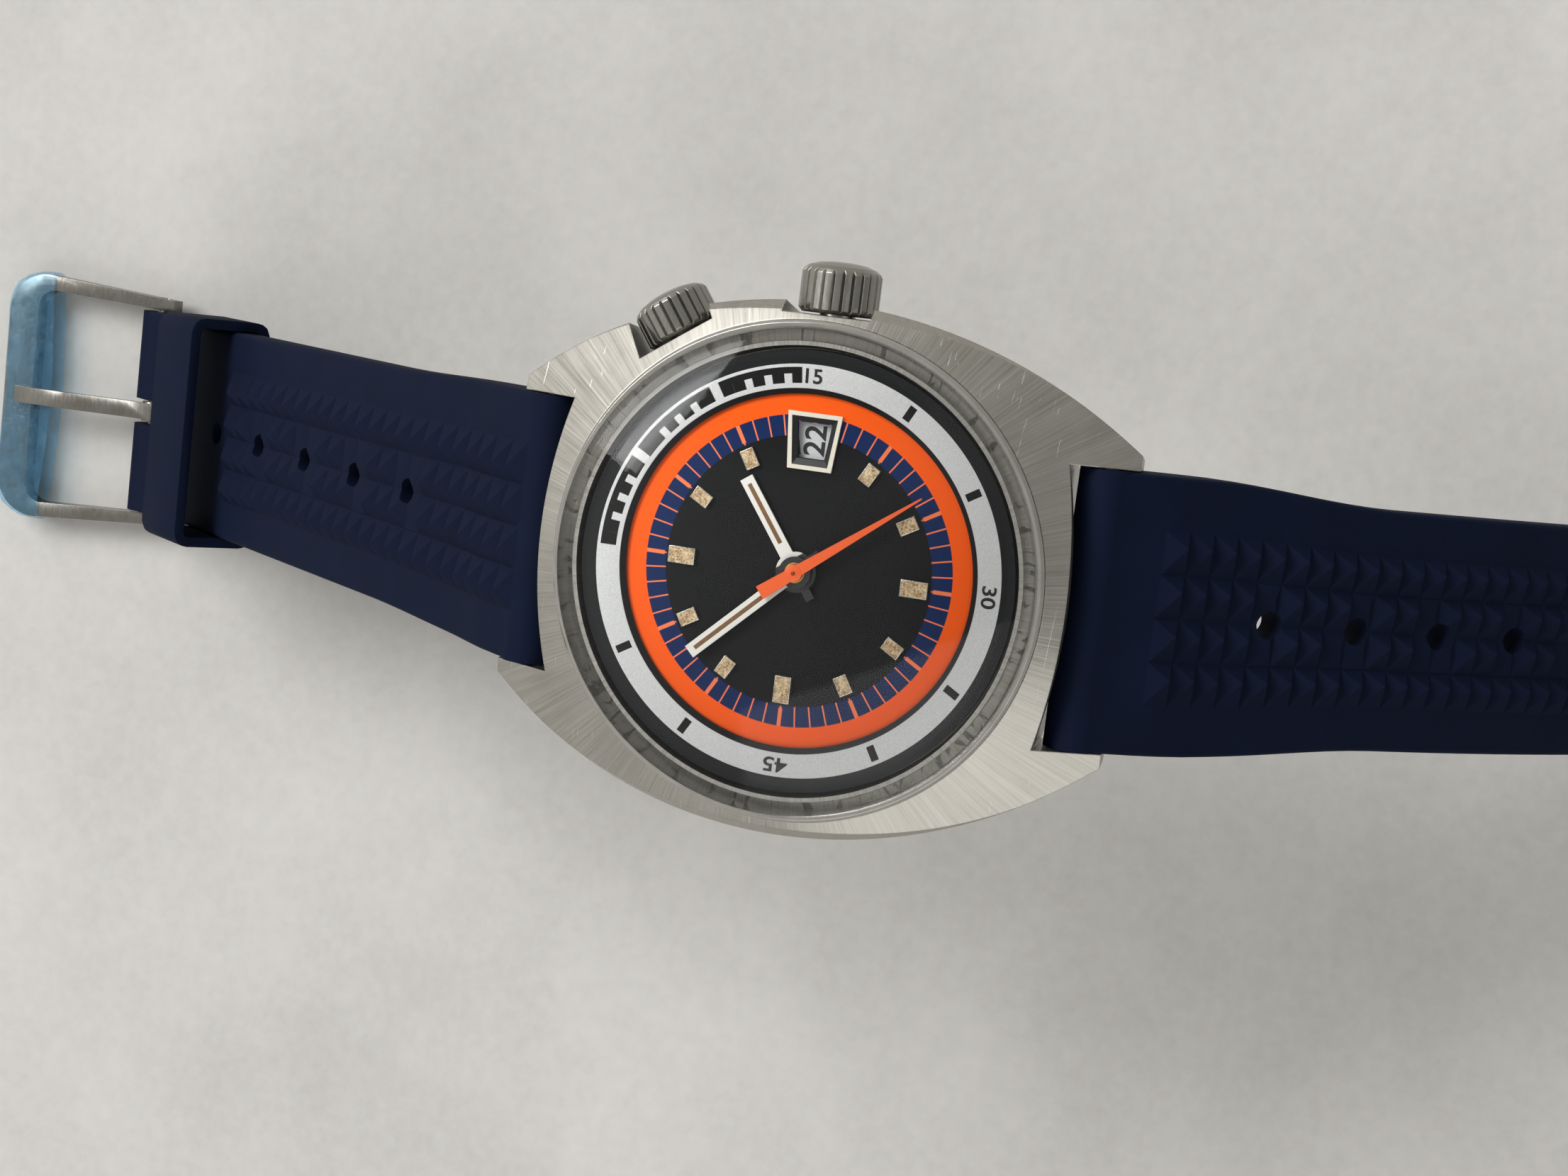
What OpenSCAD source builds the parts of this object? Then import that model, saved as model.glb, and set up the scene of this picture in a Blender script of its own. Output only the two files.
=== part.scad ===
// Automatic watch with two crowns, an inner rotating ring and a rubber strap.
// The origin is the centre of the case back's flat face; +Z is out of the dial, +Y to 12, +X to 3.

/* [Case] */
// Half the width of the case at its waist
case_half_width = 18.9; // [18.7:0.1:20]
// Radius of the case's side, seen from above
side_radius = 35; // [32:0.5:40]
// Distance from the centre to the end of a lug
lug_reach = 22.5; // [22.2:0.1:23.5]
// Gap between two lugs, which the strap fills
lug_gap = 20; // [19.6:0.1:20.6]
// Height of the case's top at its inner edge
case_top = 9.3; // [9.2:0.05:9.6]
// Slope of the brushed top, below level
top_slope = 32.4; // [28:0.5:36]
// Height of the case's bottom face
case_bottom = 1.2; // [1:0.05:1.4]
// Width of the polished bevel along the case's side
bevel_width = 0.7; // [0.4:0.05:1]
// Slope of the polished bevel, below level
bevel_slope = 55; // [48:1:62]
// Lean of the case's side under its widest edge
side_lean = 10; // [6:1:14]

/* [Case back] */
// Radius of the case back's flange
back_radius = 16.3; // [16.1:0.05:16.6]
// Radius of the threaded boss
back_boss_radius = 15.15; // [14.9:0.05:15.3]
// Thickness of the case back's plate
back_plate = 1.15; // [0.9:0.05:1.2]

/* [Crystal] */
// Radius of the crystal's wall
crystal_radius = 16.95; // [16.85:0.05:17]
// Thickness of the crystal's wall
crystal_wall = 0.75; // [0.6:0.05:0.75]
// Height of the top of the crystal's wall
crystal_shoulder = 10.5; // [10:0.1:11]
// Height of the crystal's dome over its wall
dome_rise = 2.1; // [1.2:0.1:3]
// Radius of the metal ring round the crystal
bezel_ring_radius = 17.6; // [17.4:0.05:17.6]

/* [Inner ring] */
// Inner radius of the rotating marks ring
marks_inner = 12.5; // [12.2:0.05:12.8]
// Outer radius of the rotating marks ring
marks_outer = 15.55; // [15.3:0.05:15.55]
// Teeth under the marks ring
marks_teeth = 88; // [80:8:96]
// Teeth on the second crown's pinion
marks_pinion_teeth = 8; // [8:1:8]

/* [Crowns] */
// Height of both crown axes
crown_axis_z = 5.1; // [5:0.05:5.3]
// Radius of the main crown
crown_radius = 2.85; // [2.5:0.05:2.9]
// Distance from the centre to the main crown's inner face
crown_start = 18.1; // [18.05:0.05:18.4]
// Length of the main crown
crown_length = 3.7; // [3.3:0.1:4]
// How far the main crown pulls out
crown_pull = 1.2; // [0.5:0.1:1.5]
// Radius of the second crown
second_radius = 2.8; // [2.4:0.05:2.9]
// Distance from the centre to the second crown's inner face
second_start = 18.8; // [18.7:0.05:19]
// Length of the second crown
second_length = 3.3; // [3:0.1:3.6]
// Angle of the second crown's axis from 3 o'clock
second_angle = 35; // [32:1:40]
// Ridges round a crown
crown_ridges = 25; // [20:1:30]

/* [Dial and hands] */
// Height of the dial's face
dial_top = 8.1; // [8.05:0.05:8.15]
// Radius of the dial
dial_radius = 14.2; // [14:0.05:14.2]
// Length of the hour hand
hour_length = 7.5; // [6.5:0.1:8]
// Length of the minute hand
minute_length = 9.6; // [8.5:0.1:10]
// Length of the seconds hand
seconds_length = 10.5; // [9.5:0.1:11]
// Angle of the hour hand, clockwise from 12
hour_angle = 54.6; // [0:0.1:360]
// Angle of the minute hand, clockwise from 12
minute_angle = 315.9; // [0:0.1:360]
// Angle of the seconds hand, clockwise from 12
seconds_angle = 142.5; // [0:0.1:360]
// Width of the hour and minute hands
hand_width = 0.98; // [0.8:0.02:1.1]

/* [Movement] */
// Radius of the main plate
plate_radius = 12.8; // [12.6:0.05:12.8]
// Distance from the centre to the barrel's axis
barrel_distance = 7; // [6.9:0.05:7.1]
// Direction of the barrel's axis
barrel_direction = 60; // [58:1:62]
// Size of the barrel's and the second pinion's teeth
barrel_module = 0.14; // [0.13:0.005:0.14]
// Size of the second wheel's teeth
second_module = 0.13; // [0.12:0.005:0.13]
// Size of the third wheel's teeth
third_module = 0.12; // [0.115:0.005:0.12]
// Size of the fourth wheel's teeth
fourth_module = 0.085; // [0.08:0.005:0.09]
// Radius of the balance wheel
balance_radius = 3.3; // [3:0.05:3.35]

/* [Strap] */
// Thickness of the rubber strap
strap_thick = 2.6; // [2.2:0.1:3]
// Height of the spring bars' axes
hinge_z = 4.5; // [4.3:0.05:4.7]
// Distance from the centre to a spring bar's axis
hinge_y = 20.3; // [20.2:0.05:20.5]
// Slope of the short half, below level
short_slope = 40; // [30:0.5:45]
// Length of the short half, from spring bar to buckle bar
short_length = 75.5; // [74:0.5:84]
// Width of the short half past its taper
short_width = 19; // [18:0.1:19.2]
// Slope of the long half at its lug
long_slope_start = 29; // [24:0.5:34]
// Slope of the long half at its steepest
long_slope_max = 50.5; // [48:0.5:53]
// Length of the long half down to its steepest place
long_fall = 60; // [56:0.5:62]
// Length of the long half that lies level
long_foot = 31; // [24:0.5:36]
// Width of the long half past its taper
long_width = 17.7; // [17:0.1:18.4]
// Pitch of the holes in the long half
long_pitch = 7.4; // [7:0.1:8]
// Pitch of the holes in the short half
short_pitch = 9.6; // [9:0.1:10]
// Radius of a strap hole
hole_radius = 1; // [0.8:0.05:1.1]

/* [Buckle] */
// Length of the buckle frame past its bar
buckle_length = 16.4; // [15.5:0.1:18]
// Half the outer width of the buckle frame at its bar
buckle_half_width = 11.1; // [11.1:0.1:11.6]
// How far each side bar flares out
buckle_flare = 1; // [0.4:0.1:1.2]
// Width of the buckle's side bars
buckle_wire = 1.1; // [1:0.05:1.1]
// Thickness of the buckle frame
buckle_thick = 1.7; // [1.4:0.1:2]
// Width of the buckle's end bar
buckle_end = 3.1; // [2.6:0.1:3.6]
// Length of the keeper along the strap
keeper_length = 8; // [6:0.5:8.5]
// Wall of the keeper
keeper_wall = 0.9; // [0.7:0.05:1]
// Room in the keeper over the short half
keeper_room = 3.1; // [2.7:0.1:3.4]

/* [Hidden] */
$fn = 96;

// Clearances: a running shaft, a gap between curved faces, and a small over-cut
running = 0.05;
gap = 0.15;
cut = 0.5;

// Heights inside the case, from the back to the crystal
rotor_low = case_bottom + 0.15;
rotor_high = rotor_low + 0.55;
web_low = rotor_low + 0.2;
web_high = rotor_low + 0.5;
top_wheels_low = rotor_high + 0.1;
top_wheels_high = top_wheels_low + 0.15;
bridge_low = top_wheels_high + 0.05;
bridge_high = bridge_low + 0.65;
plate_low = bridge_high + 1.65;
plate_high = plate_low + 2.2;
dial_thick = 0.4;
dial_low = dial_top - dial_thick;
disc_high = dial_low - 0.2;
disc_low = disc_high - 0.2;
ring_seat_z = 8;

// Radii inside the case
top_radius = bezel_ring_radius + 0.06;
bore_back = back_boss_radius + running;
casing_radius = dial_radius;
bore_movement = casing_radius + running;
bore_marks = marks_outer + running;
bore_crystal = crystal_radius + running;
tension_outer = crystal_radius - crystal_wall - running;
disc_outer = plate_radius - 1.2;
disc_inner = 7.5;
back_bore_high = 2.8;

// Sides of the case
bevel_fit = side_radius - 0.5;
lean_fit = side_radius + 4;
bevel_top_z = case_top - (case_half_width - bevel_width - top_radius) * tan(top_slope);
edge_z = bevel_top_z - bevel_width * tan(bevel_slope);
notch_wall = 18;
notch_edge = 19.05;
notch_corner = 17.86;
notch_depth = notch_edge - notch_corner;
notch_radius = (pow(lug_gap / 2, 2) + pow(notch_depth, 2)) / (2 * notch_depth);
notch_lip_z = 6.9;
bar_radius = 0.9;
tip_radius = 0.45;
tip_depth = 1.3;
eye_radius = 2;

// Crowns
tube_radius = 1.3;
stem_radius = 0.6;
second_tube_radius = 1.2;
second_stem_radius = 0.5;
stem_square = 0.35;
crown_pocket = crown_radius + 0.3;
second_pocket = second_radius + 0.2;
second_wall = 0.35;
marks_pitch_radius = 14.85;
marks_pinion_radius = marks_pitch_radius * marks_pinion_teeth / marks_teeth;
marks_teeth_length = 1;
marks_tooth_height = 0.3;
marks_pitch_z = crown_axis_z + marks_pinion_radius;
shelf_z = marks_pitch_z - marks_tooth_height - 0.1;

// Date window, as half-lengths of its sides
window_inner_x = 8;
window_outer_x = 10.5;
window_inner_half = 0.95;
window_outer_half = 1.25;
frame_inner_x = 7.2;
frame_outer_x = 11.2;
frame_inner_half = 1.58;
frame_outer_half = 1.95;
frame_wire = 0.3;

// Centre of the movement, from the seconds arbor outwards
pivot_radius = 0.2;
seconds_arbor = 0.15;
centre_tube_outer = 0.45;
cannon_inner = centre_tube_outer + running;
cannon_outer = 0.72;
hour_tube_inner = cannon_outer + running;
hour_tube_outer = 1.05;
hour_hand_z = dial_top + 0.3;
minute_hand_z = dial_top + 0.7;
seconds_hand_z = dial_top + 1.1;
hand_thick = 0.16;

// Teeth and places of the going train
barrel_teeth = 70;
second_pinion_teeth = 10;
second_teeth = 60;
third_pinion_teeth = 10;
third_teeth = 60;
fourth_pinion_teeth = 8;
fourth_teeth = 80;
escape_pinion_teeth = 8;
escape_teeth = 15;
barrel_pitch = pitch_radius(barrel_teeth, barrel_module);
barrel_pos = polar(barrel_distance, barrel_direction);
second_direction = 168;
second_pos = barrel_pos
    + polar(pair_distance(barrel_teeth, second_pinion_teeth, barrel_module), second_direction);
third_pos = meet(second_pos, pair_distance(second_teeth, third_pinion_teeth, second_module),
    [0, 0], pair_distance(third_teeth, fourth_pinion_teeth, third_module));
escape_direction = 260;
escape_pos = polar(pair_distance(fourth_teeth, escape_pinion_teeth, fourth_module), escape_direction);
escape_radius = 2.3;
pallet_pos = [0.8, -6.2];
balance_pos = [5.2, -7];
cock_foot = [10.4, -3.4];
drum_low = plate_low - 0.8;
drum_high = plate_low - 0.05;
level_a = plate_low - 1.05;
level_b = plate_low - 1.3;
level_c = plate_low - 1.55;
wheel_thick = 0.12;

// Motion work under the dial
motion_distance = 3.6;
motion_direction = 225;
motion_pos = polar(motion_distance, motion_direction);
cannon_teeth = 12;
minute_teeth = 36;
minute_pinion_teeth = 10;
hour_teeth = 40;
cannon_module = 2 * motion_distance / (cannon_teeth + minute_teeth);
hour_module = 2 * motion_distance / (minute_pinion_teeth + hour_teeth);

// Winding work on the bridges
ratchet_teeth = 40;
crown_wheel_teeth = 25;
winding_module = 0.16;
crown_wheel_pos = barrel_pos
    + polar(pair_distance(ratchet_teeth, crown_wheel_teeth, winding_module), -45);
rotor_pinion_teeth = 16;
reverser_teeth = 24;
reverser_module = 0.2;
reverser_direction = 200;
reverser_pos =
    polar(pair_distance(rotor_pinion_teeth, reverser_teeth, reverser_module), reverser_direction);
rotor_radius = 12.4;
axle_radius = 0.8;
rotor_thread = 0.45;
pillar_radius = 0.7;
pillar_ring = 11.34;
barrel_pillars = [14, 85];
train_pillars = [150, 215];
pallet_feet = [[-2.2, -7.4], [-0.2, -9.2]];
screw_radius = 0.4;
clamp_angles = [100, 280];

// Strap halves
eye_wall_start = 5;
taper_start = 7;
taper_end = 24;
short_hole_start = 18.9;
short_holes = 5;
long_hole_start = 13.4;
long_holes = 14;
radian = 180 / PI;
fall_drop = long_fall * radian
    * (cos(long_slope_start) - cos(long_slope_max)) / (long_slope_max - long_slope_start);
foot_drop = short_length * sin(short_slope) + eye_radius - strap_thick / 2;
long_bend = (foot_drop - fall_drop) * long_slope_max / radian / (1 - cos(long_slope_max));
long_length = long_fall + long_bend + long_foot;
path_steps = 59;
fold_length = 5;
fold_half_width = buckle_half_width - buckle_wire - 0.15;
tongue_slot = 1.25;
head_length = 11;
keeper_start = short_length - head_length - keeper_length - 1;
buckle_corner = 4;
buckle_back = 1.4;
film_skin = 0.15;
film_reach = 2.2;

function pitch_radius(teeth, module_size) = teeth * module_size / 2;
function pair_distance(teeth_a, teeth_b, module_size) = (teeth_a + teeth_b) * module_size / 2;
function polar(radius, angle) = [radius * cos(angle), radius * sin(angle)];
function direction(from, to) = atan2(to[1] - from[1], to[0] - from[0]);
// The point at distance ra from a and rb from b, on the left of the way from b to a
function meet(a, ra, b, rb) =
    let (span = norm(a - b), along = (rb * rb + span * span - ra * ra) / (2 * span))
    b + polar(rb, direction(b, a) + acos(along / rb));
// The phase at which a gear's gap faces the tooth of the gear that drives it
function mesh_phase(theta, phase_a, teeth_a, teeth_b) =
    theta + 180 - (phase_a - theta) * teeth_a / teeth_b + 180 / teeth_b;
function gear_points(teeth, pitch, tall, phase) = [
    for (k = [0 : teeth - 1])
        for (corner = [[-0.25, -tall], [-0.12, tall * 0.85], [0.12, tall * 0.85], [0.25, -tall]])
            polar(pitch + corner[1], phase + (k + corner[0]) * 360 / teeth)
];
function spiral_points(inner, outer, turns, thick, steps) = concat(
    [for (i = [0 : turns * steps]) polar(inner + (outer - inner) * i / (turns * steps), i * 360 / steps)],
    [for (i = [turns * steps : -1 : 0])
        polar(inner + thick + (outer - inner) * i / (turns * steps), i * 360 / steps)]
);
// Slope of the long half at a length from its spring bar
function long_slope(s) =
    s < long_fall ? long_slope_start + (long_slope_max - long_slope_start) * s / long_fall :
    s < long_fall + long_bend ? long_slope_max * (1 - (s - long_fall) / long_bend) : 0;
// Centre line of the long half: distance out, height and slope, at even steps
long_path = [
    for (i = 0, step = long_length / path_steps, out = hinge_y, up = hinge_z; i <= path_steps;
        out = out + step * cos(long_slope((i + 0.5) * step)),
        up = up - step * sin(long_slope((i + 0.5) * step)), i = i + 1)
        [out, up, long_slope(i * step)]
];
function long_at(s) =
    let (place = s / long_length * path_steps, i = min(floor(place), path_steps - 1), part = place - i)
    long_path[i] * (1 - part) + long_path[i + 1] * part;
// Smooth step from 0 to 1 between two lengths
function ease(s, from, to) = let (u = min(max((s - from) / (to - from), 0), 1)) u * u * (3 - 2 * u);
function strap_half(s, width) =
    lug_gap / 2 - 0.1 - (lug_gap - 0.2 - width) / 2 * ease(s, taper_start, taper_end);

module tube_z(outer, inner, low, high) {
    translate([0, 0, low]) difference() {
        cylinder(r = outer, h = high - low);
        translate([0, 0, -cut]) cylinder(r = inner, h = high - low + 2 * cut);
    }
}

module rod_z(radius, low, high) {
    translate([0, 0, low]) cylinder(r = radius, h = high - low);
}

module rod_x(radius, from, to) {
    translate([from, 0, crown_axis_z]) rotate([0, 90, 0]) cylinder(r = radius, h = to - from);
}

// A flat bar with round ends, from p to q
module bar_2d(p, q, radius) {
    translate(p) circle(radius);
    translate(q) circle(radius);
    translate(p) rotate(direction(p, q)) translate([0, -radius]) square([norm(q - p), 2 * radius]);
}

module gear(teeth, module_size, low, high, phase) {
    translate([0, 0, low]) linear_extrude(high - low)
        polygon(gear_points(teeth, pitch_radius(teeth, module_size), module_size, phase));
}

module second_axis() {
    rotate(second_angle) children();
}

module at(place) {
    translate([place[0], place[1], 0]) children();
}

// Local frame of the short half: +Y along the strap from its spring bar, +Z out of its face
module on_short() {
    translate([0, hinge_y, hinge_z]) rotate([-short_slope, 0, 0]) children();
}

module case_solid() {
    intersection() {
        rotate_extrude() polygon([
            [0, case_bottom], [back_radius + 0.3, case_bottom], [26, case_bottom + 1.5],
            [26, case_top - (26 - top_radius) * tan(top_slope)], [top_radius, case_top], [0, case_top]
        ]);
        case_side(0);
        case_side(180);
        translate([-30, -lug_reach, 0]) cube([60, 2 * lug_reach, 20]);
    }
}

// One side of the case: the polished bevel above its widest edge and the lean below it
module case_side(turn) {
    rotate(turn) intersection() {
        translate([case_half_width - bevel_width, 0, bevel_top_z]) rotate([0, bevel_slope - 90, 0])
            translate([-bevel_fit, 0, -60]) cylinder(r = bevel_fit, h = 120, $fn = 256);
        translate([case_half_width, 0, edge_z]) rotate([0, side_lean, 0])
            translate([-lean_fit, 0, -60]) cylinder(r = lean_fit, h = 120, $fn = 256);
    }
}

module lug_notch() {
    difference() {
        translate([-lug_gap / 2, notch_corner - 1, 0]) cube([lug_gap, 12, 20]);
        translate([0, notch_edge - notch_radius, -1]) cylinder(r = notch_radius, h = 22, $fn = 256);
    }
    translate([-lug_gap / 2, notch_wall, 0]) cube([lug_gap, 12, notch_lip_z]);
    for (side = [-1, 1])
        translate([side * (lug_gap / 2 - cut), hinge_y, hinge_z]) rotate([0, side * 90, 0])
            cylinder(r = tip_radius + running, h = tip_depth + cut);
}

module mid_case() {
    color("silver") difference() {
        case_solid();
        rod_z(bore_back, 0, back_bore_high);
        rod_z(bore_movement, 0, shelf_z + cut);
        rod_z(bore_marks, shelf_z, ring_seat_z + cut);
        rod_z(bore_crystal, ring_seat_z, 20);
        rod_z(bezel_ring_radius + 0.01, case_top - 0.5, 20);
        tube_z(back_boss_radius + 0.75, back_boss_radius + 0.2, 0, case_bottom + 0.35);
        for (turn = [0, 180]) rotate(turn) lug_notch();
        translate([crown_start - 0.15, -crown_pocket, 0]) cube([10, 2 * crown_pocket, 20]);
        rod_x(tube_radius, 10, 22);
        second_axis() {
            translate([second_start - second_wall, -second_pocket, 0]) cube([10, 2 * second_pocket, 20]);
            rod_x(second_tube_radius, 10, 22);
            rod_x(marks_pinion_radius + marks_tooth_height + gap, 13, bore_marks + gap);
        }
    }
}

module caseback() {
    color("silver") difference() {
        rotate_extrude() polygon([
            [0, 0], [back_radius - 1.9, 0], [back_radius, case_bottom * 0.6], [back_radius, case_bottom],
            [back_boss_radius, case_bottom], [back_boss_radius, back_bore_high - 0.1],
            [back_boss_radius - 0.8, back_bore_high - 0.1], [back_boss_radius - 0.8, back_plate],
            [0, back_plate]
        ]);
        for (turn = [0 : 60 : 300])
            rotate(turn) translate([back_radius - 1.5, -1.5, -cut]) cube([3, 3, cut + 0.7]);
    }
}

module caseback_gasket() {
    color("black") tube_z(back_boss_radius + 0.65, back_boss_radius + 0.3, case_bottom, case_bottom + 0.3);
}

module crystal() {
    inner = crystal_radius - crystal_wall;
    rim = crystal_radius - 0.5;
    dome_base = crystal_shoulder + 0.4;
    dome_radius = (rim * rim + dome_rise * dome_rise) / (2 * dome_rise);
    color("azure") difference() {
        union() {
            rod_z(crystal_radius, ring_seat_z, crystal_shoulder);
            translate([0, 0, crystal_shoulder]) cylinder(r1 = crystal_radius, r2 = rim, h = 0.4);
            intersection() {
                rod_z(rim, dome_base, dome_base + dome_rise + 1);
                translate([0, 0, dome_base + dome_rise - dome_radius]) sphere(dome_radius, $fn = 192);
            }
        }
        rod_z(inner, 0, crystal_shoulder - 0.9);
        intersection() {
            rod_z(inner, 0, 20);
            translate([0, 0, dome_base + dome_rise - dome_radius]) sphere(dome_radius - 1.6, $fn = 192);
        }
    }
}

module tension_ring() {
    color("silver") rotate_extrude() polygon([
        [marks_outer + 0.12, ring_seat_z + 0.4], [marks_outer + 0.12, ring_seat_z],
        [tension_outer, ring_seat_z], [tension_outer, ring_seat_z + 1.45],
        [tension_outer - 0.3, ring_seat_z + 1.45]
    ]);
}

module bezel_ring() {
    low = case_top - 0.5;
    high = case_top + 0.45;
    color("silver") rotate_extrude() polygon([
        [crystal_radius + 0.05, low], [bezel_ring_radius, low], [bezel_ring_radius, high - 0.25],
        [bezel_ring_radius - 0.2, high], [crystal_radius + 0.2, high], [crystal_radius + 0.05, high - 0.1]
    ]);
}

// The ring's teeth hang from its skirt and face the pinion
module marks_ring() {
    low = dial_top + 0.1;
    skirt = marks_pitch_z + marks_tooth_height * 0.9;
    tall = marks_tooth_height * 1.5;
    half_pitch = 180 / marks_teeth;
    color("dimgray") {
        rotate_extrude() polygon([
            [marks_inner, low], [dial_radius + gap, low], [dial_radius + gap, skirt], [marks_outer, skirt],
            [marks_outer, low + 0.9], [marks_outer - 1, low + 0.65], [marks_inner + 0.4, low + 0.45],
            [marks_inner, low + 0.15]
        ]);
        for (k = [0 : marks_teeth - 1]) rotate(second_angle + (2 * k + 1) * half_pitch)
            translate([dial_radius + gap + 0.1, 0, skirt]) rotate([90, 0, 90])
                linear_extrude(marks_teeth_length) polygon([
                    [-0.22, 0.1], [-0.22, 0], [-0.12, -tall], [0.12, -tall], [0.22, 0], [0.22, 0.1]
                ]);
    }
}

// A crown lying along +X: ridges round it, a domed end and a hollow for its tube
module crown(radius, start, length, hollow, depth, stem) {
    groove = radius * PI / crown_ridges * 0.55;
    translate([start, 0, crown_axis_z]) rotate([0, 90, 0]) difference() {
        intersection() {
            linear_extrude(length) polygon([
                for (k = [0 : crown_ridges - 1])
                    for (corner = [[-0.5, groove], [-0.28, -0.06], [0.28, -0.06]])
                        polar(radius - corner[1], (k + corner[0]) * 360 / crown_ridges)
            ]);
            rotate_extrude() polygon([
                [0, 0], [radius - 0.3, 0], [radius, 0.3],
                [radius, length - 0.85], [radius - 0.15, length - 0.6], [radius - 0.5, length - 0.35],
                [radius - 1.2, length - 0.13], [radius - 2, length - 0.03], [0, length]
            ]);
        }
        translate([0, 0, -cut]) cylinder(r = hollow, h = depth + cut);
        cylinder(r = stem, h = depth + 0.5);
    }
}

module main_crown() {
    color("gray") crown(crown_radius, crown_start, crown_length, tube_radius + 0.6,
        crown_length - 1.3, stem_radius);
}

// A ring seal that sits in a crown and slides on its tube
module crown_seal(radius, from) {
    difference() {
        rod_x(radius + 0.58, from, from + 0.5);
        rod_x(radius + 0.04, from - cut, from + 0.5 + cut);
    }
}

module main_crown_seal() {
    color("black") crown_seal(tube_radius, crown_start + 0.7);
}

module main_crown_tube() {
    color("silver") difference() {
        rod_x(tube_radius, bore_marks + 0.3, crown_start + crown_length - 1.5);
        rod_x(stem_radius + running, 10, 25);
    }
}

module winding_stem() {
    color("steelblue") {
        rod_x(stem_radius, 7.9, crown_start + crown_length - 0.8);
        translate([4.75, -stem_square, crown_axis_z - stem_square])
            cube([3.2, 2 * stem_square, 2 * stem_square]);
        rod_x(0.3, 3.4, 4.8);
    }
}

module second_crown() {
    color("gray") second_axis() crown(second_radius, second_start, second_length,
        second_tube_radius + 0.6, second_length - 1.3, second_stem_radius);
}

module second_crown_seal() {
    color("black") second_axis() crown_seal(second_tube_radius, second_start + 0.5);
}

module second_crown_tube() {
    color("silver") second_axis() difference() {
        rod_x(second_tube_radius, bore_marks + 0.3, second_start + second_length - 1.5);
        rod_x(second_stem_radius + running, 10, 25);
    }
}

module second_stem() {
    from = dial_radius + gap + 0.05;
    color("gold") second_axis() {
        rod_x(second_stem_radius, from, second_start + second_length - 0.8);
        translate([from, 0, crown_axis_z]) rotate([0, 90, 0]) linear_extrude(marks_teeth_length - 0.1)
            polygon(gear_points(marks_pinion_teeth, marks_pinion_radius, marks_tooth_height * 0.85, 0));
    }
}

module casing_ring() {
    color("khaki") difference() {
        tube_z(casing_radius, plate_radius + running, bridge_high + 0.05, dial_low);
        rod_x(stem_radius + 0.2, 10, 20);
        for (turn = clamp_angles) rotate(turn) translate([casing_radius - 0.7, 0, bridge_high])
            cylinder(r = 0.3, h = 1);
    }
}

module movement_clamps() {
    color("silver") for (turn = clamp_angles) rotate(turn) difference() {
        translate([plate_radius - 0.5, -1.1, bridge_high - 0.25]) cube([1.8, 2.2, 0.25]);
        translate([casing_radius - 0.7, 0, 0]) rod_z(0.35, 0, 5);
    }
}

module clamp_screws() {
    color("steelblue") for (turn = clamp_angles) rotate(turn) translate([casing_radius - 0.7, 0, 0]) {
        rod_z(0.28, bridge_high - 0.25, bridge_high + 0.9);
        rod_z(0.6, bridge_high - 0.5, bridge_high - 0.25);
    }
}

module window_2d(inner_x, outer_x, inner_half, outer_half) {
    polygon([[inner_x, -inner_half], [outer_x, -outer_half], [outer_x, outer_half], [inner_x, inner_half]]);
}

module dial() {
    color("#16171a") difference() {
        rod_z(dial_radius, dial_low, dial_top);
        rod_z(hour_tube_outer + 0.1, 0, 20);
        translate([0, 0, dial_low - cut]) linear_extrude(3)
            window_2d(window_inner_x, window_outer_x, window_inner_half, window_outer_half);
    }
}

// A marker stands at every hour but 3, longer at 12, 6 and 9
module hour_markers() {
    color("tan") for (hour = [1, 2, 4, 5, 6, 7, 8, 9, 10, 11, 12]) {
        long = hour % 3 == 0;
        wide = long ? 1.19 : 1;
        inner = long ? 7.45 : 7.9;
        outer = long ? 9.39 : 9.3;
        rotate(-30 * hour) translate([-wide / 2, inner, dial_top]) cube([wide, outer - inner, 0.35]);
    }
}

module date_frame() {
    color("ivory") translate([0, 0, dial_top]) linear_extrude(0.25) difference() {
        window_2d(frame_inner_x, frame_outer_x, frame_inner_half, frame_outer_half);
        window_2d(frame_inner_x + frame_wire, frame_outer_x - frame_wire,
            frame_inner_half - frame_wire, frame_outer_half - frame_wire);
    }
}

module date_disc() {
    color("white") tube_z(disc_outer, disc_inner, disc_low, disc_high);
}

module cannon_pinion() {
    color("gold") difference() {
        union() {
            gear(cannon_teeth, cannon_module, plate_high + 0.05, plate_high + 0.3, 0);
            rod_z(cannon_outer, plate_high + 0.05, minute_hand_z + hand_thick);
        }
        rod_z(cannon_inner, 0, 20);
    }
}

minute_phase = mesh_phase(motion_direction, 0, cannon_teeth, minute_teeth);

module minute_wheel() {
    color("gold") at(motion_pos) difference() {
        union() {
            gear(minute_teeth, cannon_module, plate_high + 0.08, plate_high + 0.24, minute_phase);
            gear(minute_pinion_teeth, hour_module, plate_high + 0.24, plate_high + 0.6, 0);
        }
        rod_z(0.3, 0, 20);
    }
}

hour_phase = mesh_phase(motion_direction + 180, 0, minute_pinion_teeth, hour_teeth);

module hour_wheel() {
    color("gold") difference() {
        union() {
            gear(hour_teeth, hour_module, plate_high + 0.36, plate_high + 0.52, hour_phase);
            rod_z(hour_tube_outer, plate_high + 0.36, hour_hand_z + hand_thick);
        }
        rod_z(hour_tube_inner, 0, 20);
    }
}

// A baton hand with a slot, pointing at an angle clockwise from 12
module baton(angle, low, length, hub, hole, slot_from) {
    rotate(-angle) translate([0, 0, low]) linear_extrude(hand_thick) difference() {
        union() {
            circle(hub);
            translate([-hand_width / 2, hub * 0.7]) square([hand_width, length - hub * 0.7]);
            translate([-hand_width / 3, -2.2]) square([hand_width / 1.5, 2.2]);
        }
        circle(hole);
        translate([-0.15, slot_from]) square([0.3, length - slot_from - 0.5]);
    }
}

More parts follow.
